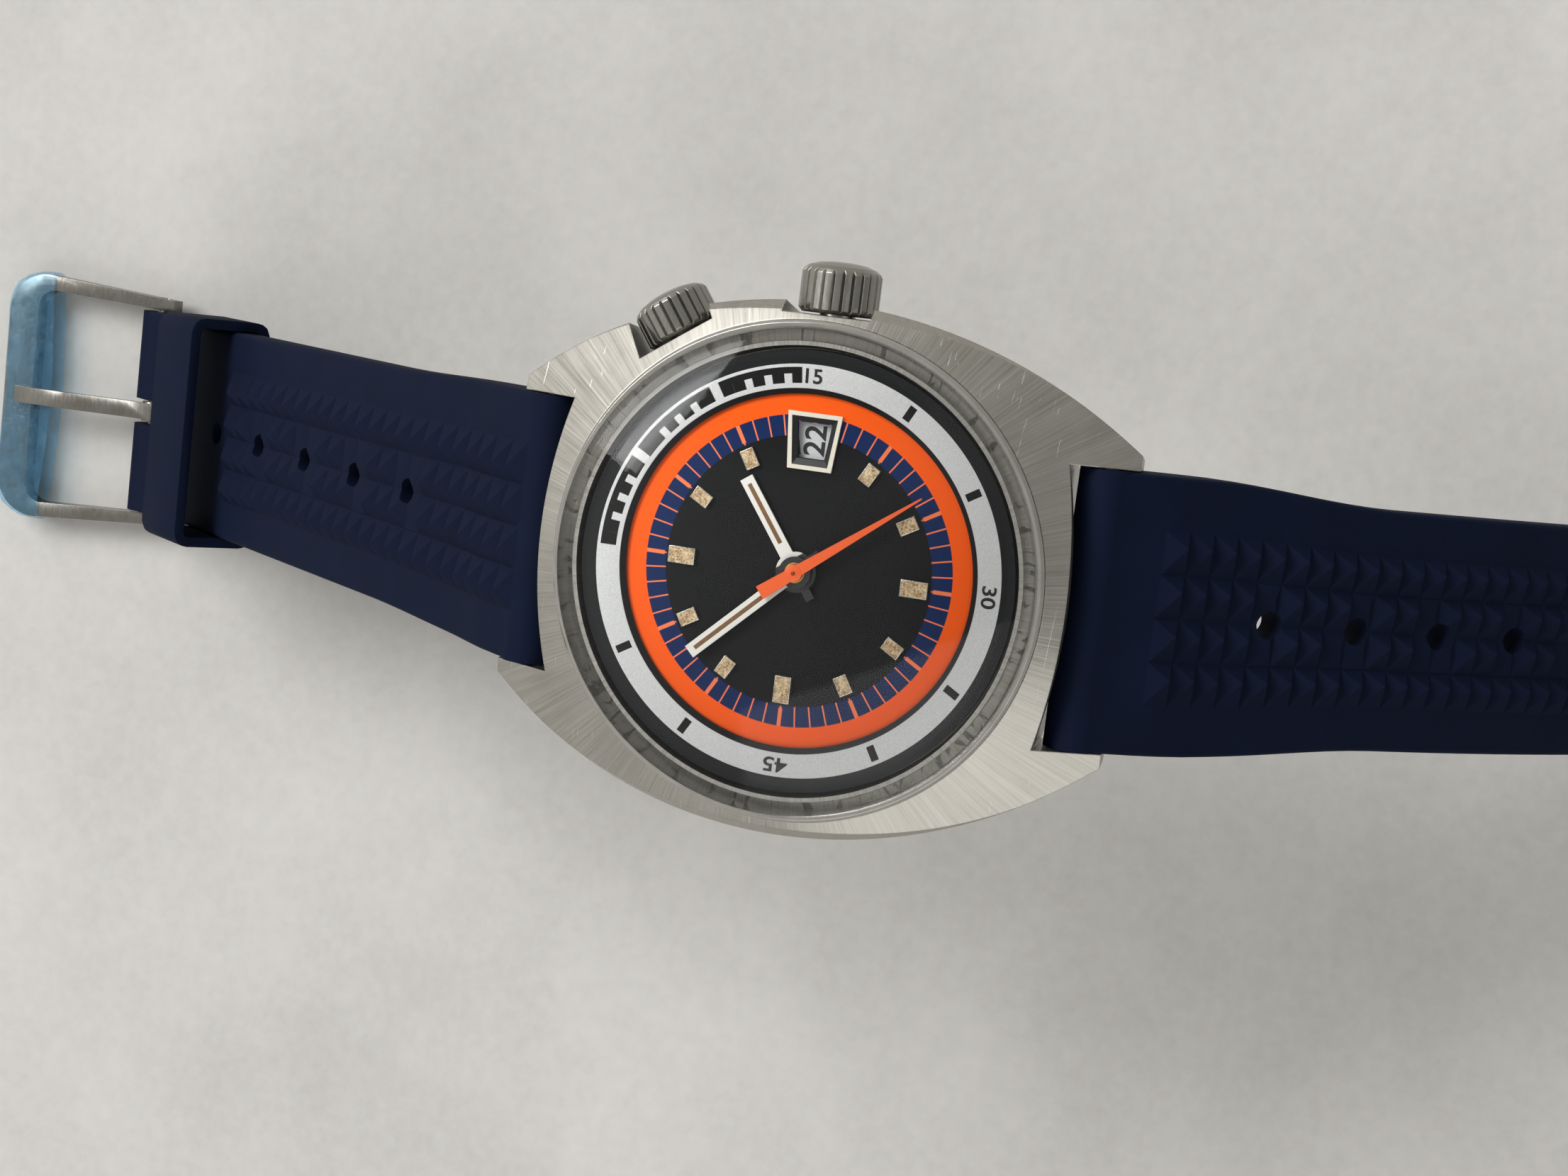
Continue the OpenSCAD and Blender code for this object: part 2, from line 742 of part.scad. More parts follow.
module hour_hand() {
    color("white") baton(hour_angle, hour_hand_z, hour_length, 1.45, hour_tube_outer, 2.3);
}

module minute_hand() {
    color("white") baton(minute_angle, minute_hand_z, minute_length, 1.15, cannon_outer, 2.5);
}

module seconds_hand() {
    color("orangered") rotate(-seconds_angle) translate([0, 0, seconds_hand_z])
        linear_extrude(hand_thick) difference() {
            union() {
                circle(0.5);
                polygon([
                    [-0.5, -2.8], [0.5, -2.8], [0.42, 0],
                    [0.06, seconds_length], [-0.06, seconds_length], [-0.42, 0]
                ]);
            }
            circle(seconds_arbor);
        }
}

module main_plate() {
    color("goldenrod") difference() {
        union() {
            rod_z(plate_radius, plate_low, plate_high);
            tube_z(plate_radius, plate_radius - 0.6, bridge_high, plate_low + 0.1);
            tube_z(disc_outer - 0.05, disc_outer - 1.7, plate_high - 0.1, disc_low - 0.05);
            tube_z(plate_radius, disc_outer + gap, plate_high - 0.1, dial_low);
            rod_z(centre_tube_outer, plate_high - 0.1, hour_hand_z + hand_thick);
            at(motion_pos) rod_z(0.25, plate_high - 0.1, plate_high + 0.65);
            for (angle = concat(barrel_pillars, train_pillars))
                at(polar(pillar_ring, angle)) rod_z(pillar_radius, bridge_high, plate_low + 0.1);
            at(cock_foot) rod_z(pillar_radius, bridge_high, plate_low + 0.1);
        }
        rod_z(seconds_arbor + running, 0, 20);
        for (place = [second_pos, third_pos, escape_pos, pallet_pos, balance_pos])
            at(place) rod_z(pivot_radius + running, plate_low - 1, plate_low + 0.5);
        at(barrel_pos) rod_z(stem_radius + running, plate_low - 1, plate_low + 0.5);
        for (angle = concat(barrel_pillars, train_pillars))
            at(polar(pillar_ring, angle)) rod_z(screw_radius + 0.02, 0, plate_low + 0.6);
        at(cock_foot) rod_z(screw_radius + 0.02, 0, plate_low + 0.6);
        rod_x(stem_radius + running, 7.6, 14);
        rod_x(0.3 + running, 3, 5);
        translate([4.7, -1.35, plate_low - cut]) cube([2.95, 2.7, 1.95 + cut]);
    }
}

// A flat bridge with holes for its screws and for a list of pivots
module bridge(screws, pivots, pivot_hole) {
    difference() {
        translate([0, 0, bridge_low]) linear_extrude(bridge_high - bridge_low) children();
        for (place = screws) at(place) rod_z(screw_radius + running, 0, 10);
        for (place = pivots) at(place) rod_z(pivot_hole, 0, 10);
    }
}

module sector_2d(radius, from, to) {
    intersection() {
        circle(radius);
        polygon(concat([[0, 0]], [for (i = [0 : 4]) polar(2 * radius, from + (to - from) * i / 4)]));
    }
}

module barrel_bridge() {
    color("lightgray") difference() {
        bridge([for (angle = barrel_pillars) polar(pillar_ring, angle)], [barrel_pos],
            stem_radius + running) difference() {
                sector_2d(plate_radius - 0.65, 5, 93);
                circle(3.5);
            }
    }
    color("lightgray") at(crown_wheel_pos) rod_z(0.5, top_wheels_low, bridge_low + 0.1);
}

module train_bridge() {
    screws = [for (angle = train_pillars) polar(pillar_ring, angle)];
    color("lightgray") difference() {
        union() {
            bridge(screws, [second_pos, third_pos, escape_pos], pivot_radius + running) difference() {
                union() {
                    sector_2d(plate_radius - 0.65, 94, 266);
                    circle(2.4);
                }
                circle(seconds_arbor + running);
            }
            at(reverser_pos) rod_z(0.4, top_wheels_low, bridge_low + 0.1);
        }
        rod_z(rotor_thread, 0, bridge_low + 0.3);
    }
}

module pallet_bridge() {
    low = bridge_high + 0.05;
    color("lightgray") difference() {
        union() {
            translate([0, 0, low]) linear_extrude(0.4) {
                bar_2d(pallet_feet[0], pallet_pos, 0.6);
                bar_2d(pallet_feet[1], pallet_pos, 0.6);
            }
            for (foot = pallet_feet) at(foot) rod_z(0.6, low, plate_low);
        }
        at(pallet_pos) rod_z(pivot_radius + running, 0, 10);
    }
}

module balance_cock() {
    color("lightgray") bridge([cock_foot], [balance_pos], pivot_radius + running)
        bar_2d(cock_foot, balance_pos, 1);
}

module bridge_screws() {
    pillars = concat(barrel_pillars, train_pillars);
    places = concat([for (angle = pillars) polar(pillar_ring, angle)], [cock_foot]);
    color("steelblue") for (place = places) at(place) {
        rod_z(0.75, bridge_low - 0.18, bridge_low);
        rod_z(screw_radius, bridge_low - 0.1, plate_low + 0.5);
    }
}

module barrel() {
    color("gold") at(barrel_pos) difference() {
        union() {
            rod_z(barrel_pitch - 0.35, drum_low, drum_high);
            gear(barrel_teeth, barrel_module, drum_low + 0.35, drum_high, 0);
        }
        rod_z(barrel_pitch - 0.65, drum_low + 0.12, 10);
        rod_z(stem_radius + running, 0, 10);
    }
}

module barrel_arbor() {
    color("gray") at(barrel_pos) rod_z(stem_radius, top_wheels_low, plate_low + 0.45);
}

module mainspring() {
    color("steelblue") at(barrel_pos) translate([0, 0, drum_low + 0.17]) linear_extrude(0.5) {
        polygon(spiral_points(0.85, barrel_pitch - 0.85, 7, 0.12, 24));
        difference() {
            circle(0.9);
            circle(stem_radius);
        }
    }
}

// A wheel and its pinion on one arbor
module train_wheel(place, teeth, size, low, wheel_phase,
    pinion_teeth, pinion_size, pinion_low, pinion_high, pinion_phase) {
    at(place) {
        rod_z(pivot_radius, bridge_low + 0.3, plate_low + 0.4);
        difference() {
            gear(teeth, size, low, low + wheel_thick, wheel_phase);
            for (turn = [0 : 90 : 270]) rotate(turn + 20)
                translate([pitch_radius(teeth, size) * 0.56, 0, 0])
                    rod_z(pitch_radius(teeth, size) * 0.27, 0, 10);
        }
        gear(pinion_teeth, pinion_size, pinion_low, pinion_high, pinion_phase);
    }
}

second_pinion_phase = mesh_phase(second_direction, 0, barrel_teeth, second_pinion_teeth);
third_pinion_phase = mesh_phase(direction(second_pos, third_pos), 0, second_teeth, third_pinion_teeth);
fourth_pinion_phase = mesh_phase(direction(third_pos, [0, 0]), 0, third_teeth, fourth_pinion_teeth);
escape_pinion_phase = mesh_phase(escape_direction, 0, fourth_teeth, escape_pinion_teeth);

module second_wheel() {
    color("gold") train_wheel(second_pos, second_teeth, second_module, level_a, 0,
        second_pinion_teeth, barrel_module, drum_low + 0.2, drum_high, second_pinion_phase);
}

module third_wheel() {
    color("gold") train_wheel(third_pos, third_teeth, third_module, level_b, 0,
        third_pinion_teeth, second_module, level_a - 0.05, level_a + 0.25, third_pinion_phase);
}

module fourth_wheel() {
    color("gold") {
        rod_z(seconds_arbor, bridge_low + 0.3, seconds_hand_z + hand_thick);
        difference() {
            gear(fourth_teeth, fourth_module, level_c, level_c + wheel_thick, 0);
            for (turn = [0 : 90 : 270]) rotate(turn) translate([1.9, 0, 0]) rod_z(0.8, 0, 10);
        }
        gear(fourth_pinion_teeth, third_module, level_c, level_b + 0.17, fourth_pinion_phase);
    }
}

module escape_wheel() {
    color("silver") at(escape_pos) {
        rod_z(pivot_radius, bridge_low + 0.3, plate_low + 0.4);
        gear(escape_pinion_teeth, fourth_module, level_c - 0.03, level_b, escape_pinion_phase);
        translate([0, 0, level_a + 0.05]) linear_extrude(wheel_thick) difference() {
            polygon([
                for (k = [0 : escape_teeth - 1])
                    for (corner = [[0, escape_radius], [0.12, escape_radius - 0.06],
                        [0.45, escape_radius - 0.55], [0.85, escape_radius - 0.55]])
                        polar(corner[1], (k + corner[0]) * 360 / escape_teeth)
            ]);
            for (turn = [0 : 90 : 270]) rotate(turn) translate([1.05, 0]) circle(0.45);
        }
    }
}

module pallet_fork() {
    facing = direction(escape_pos, pallet_pos);
    stones = [for (side = [-32, 32]) escape_pos + polar(escape_radius + 0.36, facing + side)];
    tip = balance_pos + polar(1.25, direction(balance_pos, pallet_pos));
    color("silver") {
        at(pallet_pos) rod_z(pivot_radius, bridge_high + 0.15, plate_low + 0.4);
        translate([0, 0, level_a + 0.03]) linear_extrude(0.16) {
            for (stone = stones) bar_2d(pallet_pos, stone, 0.16);
            bar_2d(pallet_pos, tip, 0.14);
            translate(pallet_pos) circle(0.45);
        }
    }
}

module balance_wheel() {
    color("gold") at(balance_pos) {
        rod_z(pivot_radius, bridge_low + 0.3, plate_low + 0.4);
        rod_z(0.9, level_a, level_a + 0.2);
        translate([0, 0, bridge_high + 0.25]) linear_extrude(0.3) {
            difference() {
                circle(balance_radius);
                circle(balance_radius - 0.4);
            }
            for (turn = [0, 90]) rotate(turn) translate([-balance_radius + 0.2, -0.2])
                square([2 * balance_radius - 0.4, 0.4]);
        }
    }
}

module hairspring() {
    color("steelblue") at(balance_pos) translate([0, 0, bridge_high + 0.05]) linear_extrude(0.12) {
        polygon(spiral_points(0.3, 1.7, 8, 0.05, 20));
        difference() {
            circle(0.34);
            circle(pivot_radius);
        }
    }
}

module ratchet_wheel() {
    color("silver") at(barrel_pos) difference() {
        gear(ratchet_teeth, winding_module, top_wheels_low, top_wheels_high, 0);
        rod_z(stem_radius, 0, 10);
    }
}

module crown_wheel() {
    phase = mesh_phase(direction(barrel_pos, crown_wheel_pos), 0, ratchet_teeth, crown_wheel_teeth);
    color("silver") at(crown_wheel_pos) difference() {
        gear(crown_wheel_teeth, winding_module, top_wheels_low, top_wheels_high, phase);
        rod_z(0.55, 0, 10);
    }
}

module stem_pinion(from, to) {
    translate([from, 0, crown_axis_z]) rotate([0, 90, 0]) linear_extrude(to - from)
        polygon(gear_points(14, 1.05, 0.12, 0));
}

module winding_pinion() {
    color("gray") difference() {
        stem_pinion(6.2, 7.5);
        rod_x(stem_radius, 0, 10);
    }
}

// Its square hole turns with the stem and lets it slide
module sliding_pinion() {
    hole = stem_square + running;
    color("gray") difference() {
        stem_pinion(4.9, 6.2);
        translate([0, -hole, crown_axis_z - hole]) cube([10, 2 * hole, 2 * hole]);
    }
}

// Half a disc with a heavy rim, hung on the rotor screw
module rotor() {
    color("silver") difference() {
        union() {
            translate([0, 0, rotor_low]) linear_extrude(rotor_high - rotor_low) difference() {
                sector_2d(rotor_radius, -88, 88);
                circle(9.4);
            }
            translate([0, 0, web_low]) linear_extrude(web_high - web_low) sector_2d(9.6, -70, 70);
            rod_z(1.9, web_low, web_high);
            gear(rotor_pinion_teeth, reverser_module, web_high - 0.05, top_wheels_high - 0.03, 0);
        }
        rod_z(axle_radius + running, 0, 10);
        for (turn = [-35, 35]) rotate(turn) translate([5.6, 0, 0]) rod_z(1.7, 0, 10);
    }
}

module rotor_screw() {
    color("steelblue") {
        rod_z(axle_radius, web_low, bridge_low);
        rod_z(1.3, rotor_low + 0.02, web_low - 0.03);
        rod_z(axle_radius, web_low - 0.1, web_low);
        rod_z(rotor_thread, bridge_low - 0.1, bridge_low + 0.25);
    }
}

module reverser_wheel() {
    phase = mesh_phase(reverser_direction, 0, rotor_pinion_teeth, reverser_teeth);
    color("gold") at(reverser_pos) difference() {
        gear(reverser_teeth, reverser_module, top_wheels_low, top_wheels_high - 0.02, phase);
        rod_z(0.45, 0, 10);
    }
}

module spring_bars() {
    half = lug_gap / 2 - 0.15;
    color("gray") for (side = [-1, 1]) translate([0, side * hinge_y, hinge_z]) rotate([0, 90, 0]) {
        translate([0, 0, -half]) cylinder(r = bar_radius, h = 2 * half);
        translate([0, 0, -half - tip_depth]) cylinder(r = tip_radius, h = 2 * (half + tip_depth));
    }
}

// Plan of a strap half, from its spring bar outwards
module strap_plan(length, width, round_end) {
    steps = 12;
    lengths = concat([-eye_radius],
        [for (i = [0 : steps]) taper_start + (taper_end - taper_start) * i / steps],
        [length - (round_end ? width / 2 : 0)]);
    polygon(concat(
        [for (s = lengths) [strap_half(s, width), s]],
        round_end
            ? [for (a = [10 : 10 : 170])
                [width / 2 * cos(a), length - width / 2 + width / 2 * sin(a)]] : [],
        [for (i = [len(lengths) - 1 : -1 : 0]) [-strap_half(lengths[i], width), lengths[i]]]
    ));
}

module strap_short() {
    body_end = short_length - fold_length;
    color("midnightblue") on_short() difference() {
        union() {
            translate([0, 0, -strap_thick / 2]) linear_extrude(strap_thick) intersection() {
                strap_plan(body_end, short_width, false);
                translate([-lug_gap, 0]) square([2 * lug_gap, short_length]);
            }
            intersection() {
                rotate([0, 90, 0]) translate([0, 0, -lug_gap]) cylinder(r = eye_radius, h = 2 * lug_gap);
                translate([0, 0, -5]) linear_extrude(10) strap_plan(body_end, short_width, false);
            }
            translate([-fold_half_width, short_length - head_length, -strap_thick / 2])
                cube([2 * fold_half_width, head_length, strap_thick]);
            translate([-fold_half_width, short_length, 0]) rotate([0, 90, 0])
                cylinder(r = eye_radius, h = 2 * fold_half_width);
        }
        rotate([0, 90, 0]) translate([0, 0, -lug_gap])
            cylinder(r = bar_radius + running, h = 2 * lug_gap);
        translate([-lug_gap, short_length, 0]) rotate([0, 90, 0])
            cylinder(r = bar_radius - 0.05, h = 2 * lug_gap);
        translate([-tongue_slot, short_length - 2.6, -5]) cube([2 * tongue_slot, 10, 10]);
        for (k = [0 : short_holes - 1])
            translate([0, short_hole_start + k * short_pitch, -5]) cylinder(r = hole_radius, h = 10);
    }
}

module strap_long() {
    half = strap_thick / 2;
    color("midnightblue") mirror([0, 1, 0]) difference() {
        union() {
            intersection() {
                rotate([90, 0, 90]) translate([0, 0, -lug_gap]) linear_extrude(2 * lug_gap) polygon(concat(
                    [for (p = long_path) [p[0] + half * sin(p[2]), p[1] + half * cos(p[2])]],
                    [for (i = [path_steps : -1 : 0]) let (p = long_path[i])
                        [p[0] - half * sin(p[2]), p[1] - half * cos(p[2])]]
                ));
                translate([0, 0, -100]) linear_extrude(200) long_plan();
            }
            translate([-strap_half(0, long_width), hinge_y, hinge_z]) rotate([0, 90, 0])
                cylinder(r = eye_radius, h = 2 * strap_half(0, long_width));
        }
        translate([-lug_gap, hinge_y, hinge_z]) rotate([0, 90, 0])
            cylinder(r = bar_radius + running, h = 2 * lug_gap);
        for (k = [0 : long_holes - 1]) let (p = long_at(long_hole_start + k * long_pitch))
            translate([0, p[0], p[1]]) rotate([-p[2], 0, 0]) translate([0, 0, -3])
                cylinder(r = hole_radius, h = 6);
    }
}

// Plan of the long half seen from above, its widths taken along its own length
module long_plan() {
    tip = long_width / 2;
    last = long_path[path_steps][0];
    steps = [for (i = [0 : path_steps]) if (i * long_length / path_steps < long_length - tip) i];
    polygon(concat(
        [for (i = steps)
            [strap_half(i * long_length / path_steps, long_width), long_path[i][0] - (i == 0 ? 1 : 0)]],
        [for (a = [0 : 10 : 180]) [tip * cos(a), last - tip + tip * sin(a)]],
        [for (k = [len(steps) - 1 : -1 : 0]) let (i = steps[k])
            [-strap_half(i * long_length / path_steps, long_width), long_path[i][0] - (i == 0 ? 1 : 0)]]
    ));
}

module strap_keeper() {
    inner = short_width / 2 + 0.1;
    low = -strap_thick / 2 - 0.1;
    high = strap_thick / 2 + keeper_room;
    color("midnightblue") on_short() translate([0, keeper_start + keeper_length, 0]) rotate([90, 0, 0])
        linear_extrude(keeper_length) difference() {
            translate([-inner - keeper_wall, low - keeper_wall])
                square([2 * (inner + keeper_wall), high - low + 2 * keeper_wall]);
            translate([-inner, low]) square([2 * inner, high - low]);
        }
}

// Local frame of the buckle: level, +Y from its bar to its end
module on_buckle() {
    translate([0, hinge_y + short_length * cos(short_slope), hinge_z - short_length * sin(short_slope)])
        children();
}

// The frame from above: side bars that flare to rounded corners
module buckle_plan(half, flare, length, corner) {
    wide = half + flare;
    polygon([
        [-half, -buckle_back], [half, -buckle_back], [wide, length - corner],
        [wide - corner, length - corner], [wide - corner, length], [corner - wide, length],
        [corner - wide, length - corner], [-wide, length - corner]
    ]);
    for (side = [-1, 1]) translate([side * (wide - corner), length - corner]) circle(corner);
}

module buckle_frame() {
    inner = buckle_half_width - buckle_wire;
    color("silver") on_buckle() difference() {
        translate([0, 0, -buckle_thick / 2]) linear_extrude(buckle_thick) difference() {
            buckle_plan(buckle_half_width, buckle_flare, buckle_length, buckle_corner);
            buckle_plan(inner, buckle_flare * 0.6, buckle_length - buckle_end, 1.8);
            translate([-inner, -buckle_back - cut]) square([2 * inner, 3]);
        }
        translate([-lug_gap, 0, 0]) rotate([0, 90, 0]) cylinder(r = tip_radius + running, h = 2 * lug_gap);
    }
}

module buckle_bar() {
    half = buckle_half_width - buckle_wire - 0.1;
    color("gray") on_buckle() rotate([0, 90, 0]) {
        translate([0, 0, -half]) cylinder(r = bar_radius - 0.1, h = 2 * half);
        translate([0, 0, -half - 0.8]) cylinder(r = tip_radius, h = 2 * (half + 0.8));
    }
}

module buckle_tongue() {
    eye = 1.4;
    tip = buckle_length - 1.9;
    rest = buckle_thick / 2 + film_skin + 0.12;
    color("silver") on_buckle() difference() {
        union() {
            translate([-0.95, 0, 0]) rotate([0, 90, 0]) cylinder(r = eye, h = 1.9);
            rotate([90, 0, 90]) translate([0, 0, -0.8]) linear_extrude(1.6) polygon([
                [0, 0.2], [2.6, 0.3], [tip - 5.6, rest], [tip, rest], [tip + 0.4, rest + 0.45],
                [tip, rest + 0.9], [tip - 5.6, rest + 1], [2.6, eye], [0, eye]
            ]);
        }
        translate([-5, 0, 0]) rotate([0, 90, 0]) cylinder(r = bar_radius - 0.1 + running, h = 10);
    }
}

// A thin sleeve round the buckle's end, which reaches back into its window
// Outline of the buckle's end, grown all round, from a length onwards
module film_plan(grow, from) {
    difference() {
        buckle_plan(buckle_half_width + grow, buckle_flare, buckle_length + grow, buckle_corner + grow);
        translate([-lug_gap, from - 2 * lug_gap]) square(2 * lug_gap);
    }
}

module buckle_film() {
    near = buckle_length - buckle_end - film_reach;
    high = buckle_thick / 2 + 0.02;
    color("lightskyblue") on_buckle() difference() {
        linear_extrude(2 * (high + film_skin), center = true) film_plan(0.1 + film_skin, near);
        linear_extrude(2 * high, center = true) film_plan(0.1, near - cut);
    }
}

mid_case();
caseback();
caseback_gasket();
crystal();
tension_ring();
bezel_ring();
marks_ring();
main_crown();
main_crown_seal();
main_crown_tube();
winding_stem();
second_crown();
second_crown_seal();
second_crown_tube();
second_stem();
casing_ring();
movement_clamps();
clamp_screws();
dial();
hour_markers();
date_frame();
date_disc();
cannon_pinion();
minute_wheel();
hour_wheel();
hour_hand();
minute_hand();
seconds_hand();
main_plate();
barrel_bridge();
train_bridge();
pallet_bridge();
balance_cock();
bridge_screws();
barrel();
barrel_arbor();
mainspring();
second_wheel();
third_wheel();
fourth_wheel();
escape_wheel();
pallet_fork();
balance_wheel();
hairspring();
ratchet_wheel();
crown_wheel();
winding_pinion();
sliding_pinion();
rotor();
rotor_screw();
reverser_wheel();
spring_bars();
strap_short();
strap_long();
strap_keeper();
buckle_frame();
buckle_bar();
buckle_tongue();
buckle_film();
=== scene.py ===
# %% [markdown]
# # An automatic watch on a rubber strap
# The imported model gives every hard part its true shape: case, crowns, dial, hands and the
# movement inside. This lesson gives those parts their finishes, and models by hand what
# machines can't turn or mill: the moulded strap, its keeper, the printed numbers, the aged
# paint on the dial and the blue film on the buckle.
#
# Lengths are in millimetres, and each finished piece is scaled to metres at the end.

# %% Load the watch
import math

import bpy
from mathutils import Matrix, Vector


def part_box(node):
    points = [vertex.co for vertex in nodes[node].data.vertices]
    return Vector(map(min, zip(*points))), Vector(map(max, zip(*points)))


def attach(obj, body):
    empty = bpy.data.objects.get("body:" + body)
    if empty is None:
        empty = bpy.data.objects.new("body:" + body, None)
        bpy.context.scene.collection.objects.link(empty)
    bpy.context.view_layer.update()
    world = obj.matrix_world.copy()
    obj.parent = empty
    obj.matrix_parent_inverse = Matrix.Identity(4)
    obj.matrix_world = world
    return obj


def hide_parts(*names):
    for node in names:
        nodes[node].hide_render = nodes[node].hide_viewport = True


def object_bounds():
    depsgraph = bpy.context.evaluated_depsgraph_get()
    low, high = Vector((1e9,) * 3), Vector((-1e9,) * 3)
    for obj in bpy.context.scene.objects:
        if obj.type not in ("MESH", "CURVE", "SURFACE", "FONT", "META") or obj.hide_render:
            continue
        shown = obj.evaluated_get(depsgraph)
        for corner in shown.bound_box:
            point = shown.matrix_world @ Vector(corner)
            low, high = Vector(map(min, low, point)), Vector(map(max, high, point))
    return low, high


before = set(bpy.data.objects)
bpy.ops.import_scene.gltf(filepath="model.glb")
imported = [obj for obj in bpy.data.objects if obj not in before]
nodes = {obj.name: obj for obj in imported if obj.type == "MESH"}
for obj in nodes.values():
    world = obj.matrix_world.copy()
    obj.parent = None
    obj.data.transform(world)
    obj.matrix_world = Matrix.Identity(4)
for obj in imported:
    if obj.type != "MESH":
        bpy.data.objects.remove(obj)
cad_low, cad_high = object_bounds()
MM = 0.001
print("nodes:", len(nodes), "size in mm:", [round(x / MM, 1) for x in cad_high - cad_low])

# %% [markdown]
# ## The camera
# The photograph looks down on the dial at a slant, from 12 o'clock on the left to 6 on the
# right. The camera's three axes, right, up and backwards, go straight into its matrix.

# %% Camera
camera_place = Vector((19.491, -35.385, 167.32)) * MM
camera_right = Vector((0.11983, -0.96463, -0.23482))
camera_up = Vector((0.98475, 0.14554, -0.09533))
camera_back = Vector((0.12613, -0.21981, 0.96735))

camera_data = bpy.data.cameras.new("camera")
camera_data.sensor_width = 36
camera_data.lens = 53.707
camera_data.clip_start = 0.01
camera = bpy.data.objects.new("camera", camera_data)
bpy.context.scene.collection.objects.link(camera)
turn = Matrix((camera_right, camera_up, camera_back)).transposed()
camera.matrix_world = Matrix.Translation(camera_place) @ turn.to_4x4()
bpy.context.scene.camera = camera
print("camera at mm:", [round(x / MM, 1) for x in camera.location])

# %% [markdown]
# ## Writing shader maths as expressions
# A finish is mostly arithmetic on the place of a point: its distance from the centre, its
# angle, a little noise. A small class wraps a socket, so that Python's own signs add the
# Math nodes.

# %% The Field class


class Field:
    """A value that changes over a surface: a socket that does sums."""

    def __init__(self, tree, socket=None):
        self.tree = tree
        self.socket = socket

    def node(self, kind, choices=None, inputs=None, out=0):
        """Adds a shader node, sets it up and gives one of its outputs."""
        made = self.tree.nodes.new("ShaderNode" + kind)
        for name, value in (choices or {}).items():
            setattr(made, name, value)
        for name, value in (inputs or {}).items():
            if isinstance(value, Field):
                self.tree.links.new(value.socket, made.inputs[name])
            else:
                made.inputs[name].default_value = value
        return Field(self.tree, made.outputs[out])

    def math(self, operation, *values):
        return self.node("Math", {"operation": operation}, dict(enumerate(values)))

    def __add__(self, other):
        return self.math("ADD", self, other)

    __radd__ = __add__

    def __mul__(self, other):
        return self.math("MULTIPLY", self, other)

    __rmul__ = __mul__

    def __sub__(self, other):
        return self.math("SUBTRACT", self, other)

    def __rsub__(self, other):
        return self.math("SUBTRACT", other, self)

    def __truediv__(self, other):
        return self.math("DIVIDE", self, other)

    def __abs__(self):
        return self.math("ABSOLUTE", self)

    def over(self, edge, soft=0.02):
        """1 where this value is over an edge, 0 where it is under, with a soft step."""
        return self.node("MapRange", {"interpolation_type": "SMOOTHSTEP"},
                         {"Value": self, "From Min": edge - soft, "From Max": edge + soft})

    def between(self, low, high, soft=0.02):
        return self.over(low, soft) * (1 - self.over(high, soft))

    def repeat(self, pitch):
        """Distance from the nearest whole number of pitches."""
        return abs(self - pitch * self.math("ROUND", self / pitch))

    def mix(self, low, high):
        """A colour between two others, by this value."""
        return self.node("Mix", {"data_type": "RGBA"}, {0: self, 6: low, 7: high},
                         out=2)


def tone(red, green, blue):
    """A colour as an eye reads it on a screen, 0 to 255, for a shader."""
    return tuple(((c / 255 + 0.055) / 1.055) ** 2.4 if c > 10 else c / 255 / 12.92
                 for c in (red, green, blue)) + (1,)


print("a tone:", [round(c, 3) for c in tone(255, 98, 24)])

# %% [markdown]
# ## The light
# The watch was photographed by a window, on a pale board. One big soft lamp stands for the
# window, between 1 and 2 o'clock, a weak one opposite for a pale wall, and the room keeps
# the shadows open. Steel shows what is round it, so the room isn't even: it is brighter
# towards 12 o'clock, it has broad soft patches, and two dark shapes stand over the watch,
# one beyond 3 o'clock and one where the photographer leans in.

# %% Room and window
scene = bpy.context.scene
scene.view_settings.view_transform = "Standard"


def add_lamp(name, place, size, watts):
    """A soft rectangular lamp that faces the watch."""
    lamp = bpy.data.lights.new(name, "AREA")
    lamp.shape = "RECTANGLE"
    lamp.size, lamp.size_y = size
    lamp.energy = watts
    holder = bpy.data.objects.new(name, lamp)
    scene.collection.objects.link(holder)
    holder.location = place
    holder.rotation_euler = (-Vector(place)).to_track_quat("-Z", "Y").to_euler()


add_lamp("window", (0.60, 0.72, 0.86), (0.96, 0.62), 23)
add_lamp("pale_wall", (-0.85, -0.45, 0.80), (1.6, 1.6), 9)

room = bpy.data.worlds.new("pale_room")
scene.world = room
room.use_nodes = True
sky = Field(room.node_tree)
way = sky.node("TexCoord", out="Generated")
north = sky.node("SeparateXYZ", None, {0: way}, out=1)


def shape_over(direction, reach):
    """1 in a round patch of the sky, of a reach in degrees, with a soft edge."""
    near = sky.node("VectorMath", {"operation": "DOT_PRODUCT"},
                    {0: way, 1: direction}, out=1)
    return near.over(math.cos(math.radians(reach)), 0.03)


shelf = shape_over((0.47, 0.24, 0.85), 19)
leaning = shape_over((-0.10, -0.36, 0.93), 13)
patches = sky.node("TexNoise", None, {"Vector": way, "Scale": 1.7, "Detail": 1.5})
level = (0.54 + north * 0.22) * (0.55 + patches * 0.9) * (1 - shelf * 0.85) * (1 - leaning * 0.6)
shade = level.mix((0, 0, 0, 1), (1.0, 0.985, 0.955, 1))
background = room.node_tree.nodes["Background"]
room.node_tree.links.new(shade.socket, background.inputs["Color"])
background.inputs["Strength"].default_value = 1.12

# %% [markdown]
# ## Starting a finish
# Every finish starts as an empty material with one Principled shader, and the place of a
# point on the watch in millimetres. Brushing on steel is noise that is long one way and
# very fine the other.

# %% Starting a finish


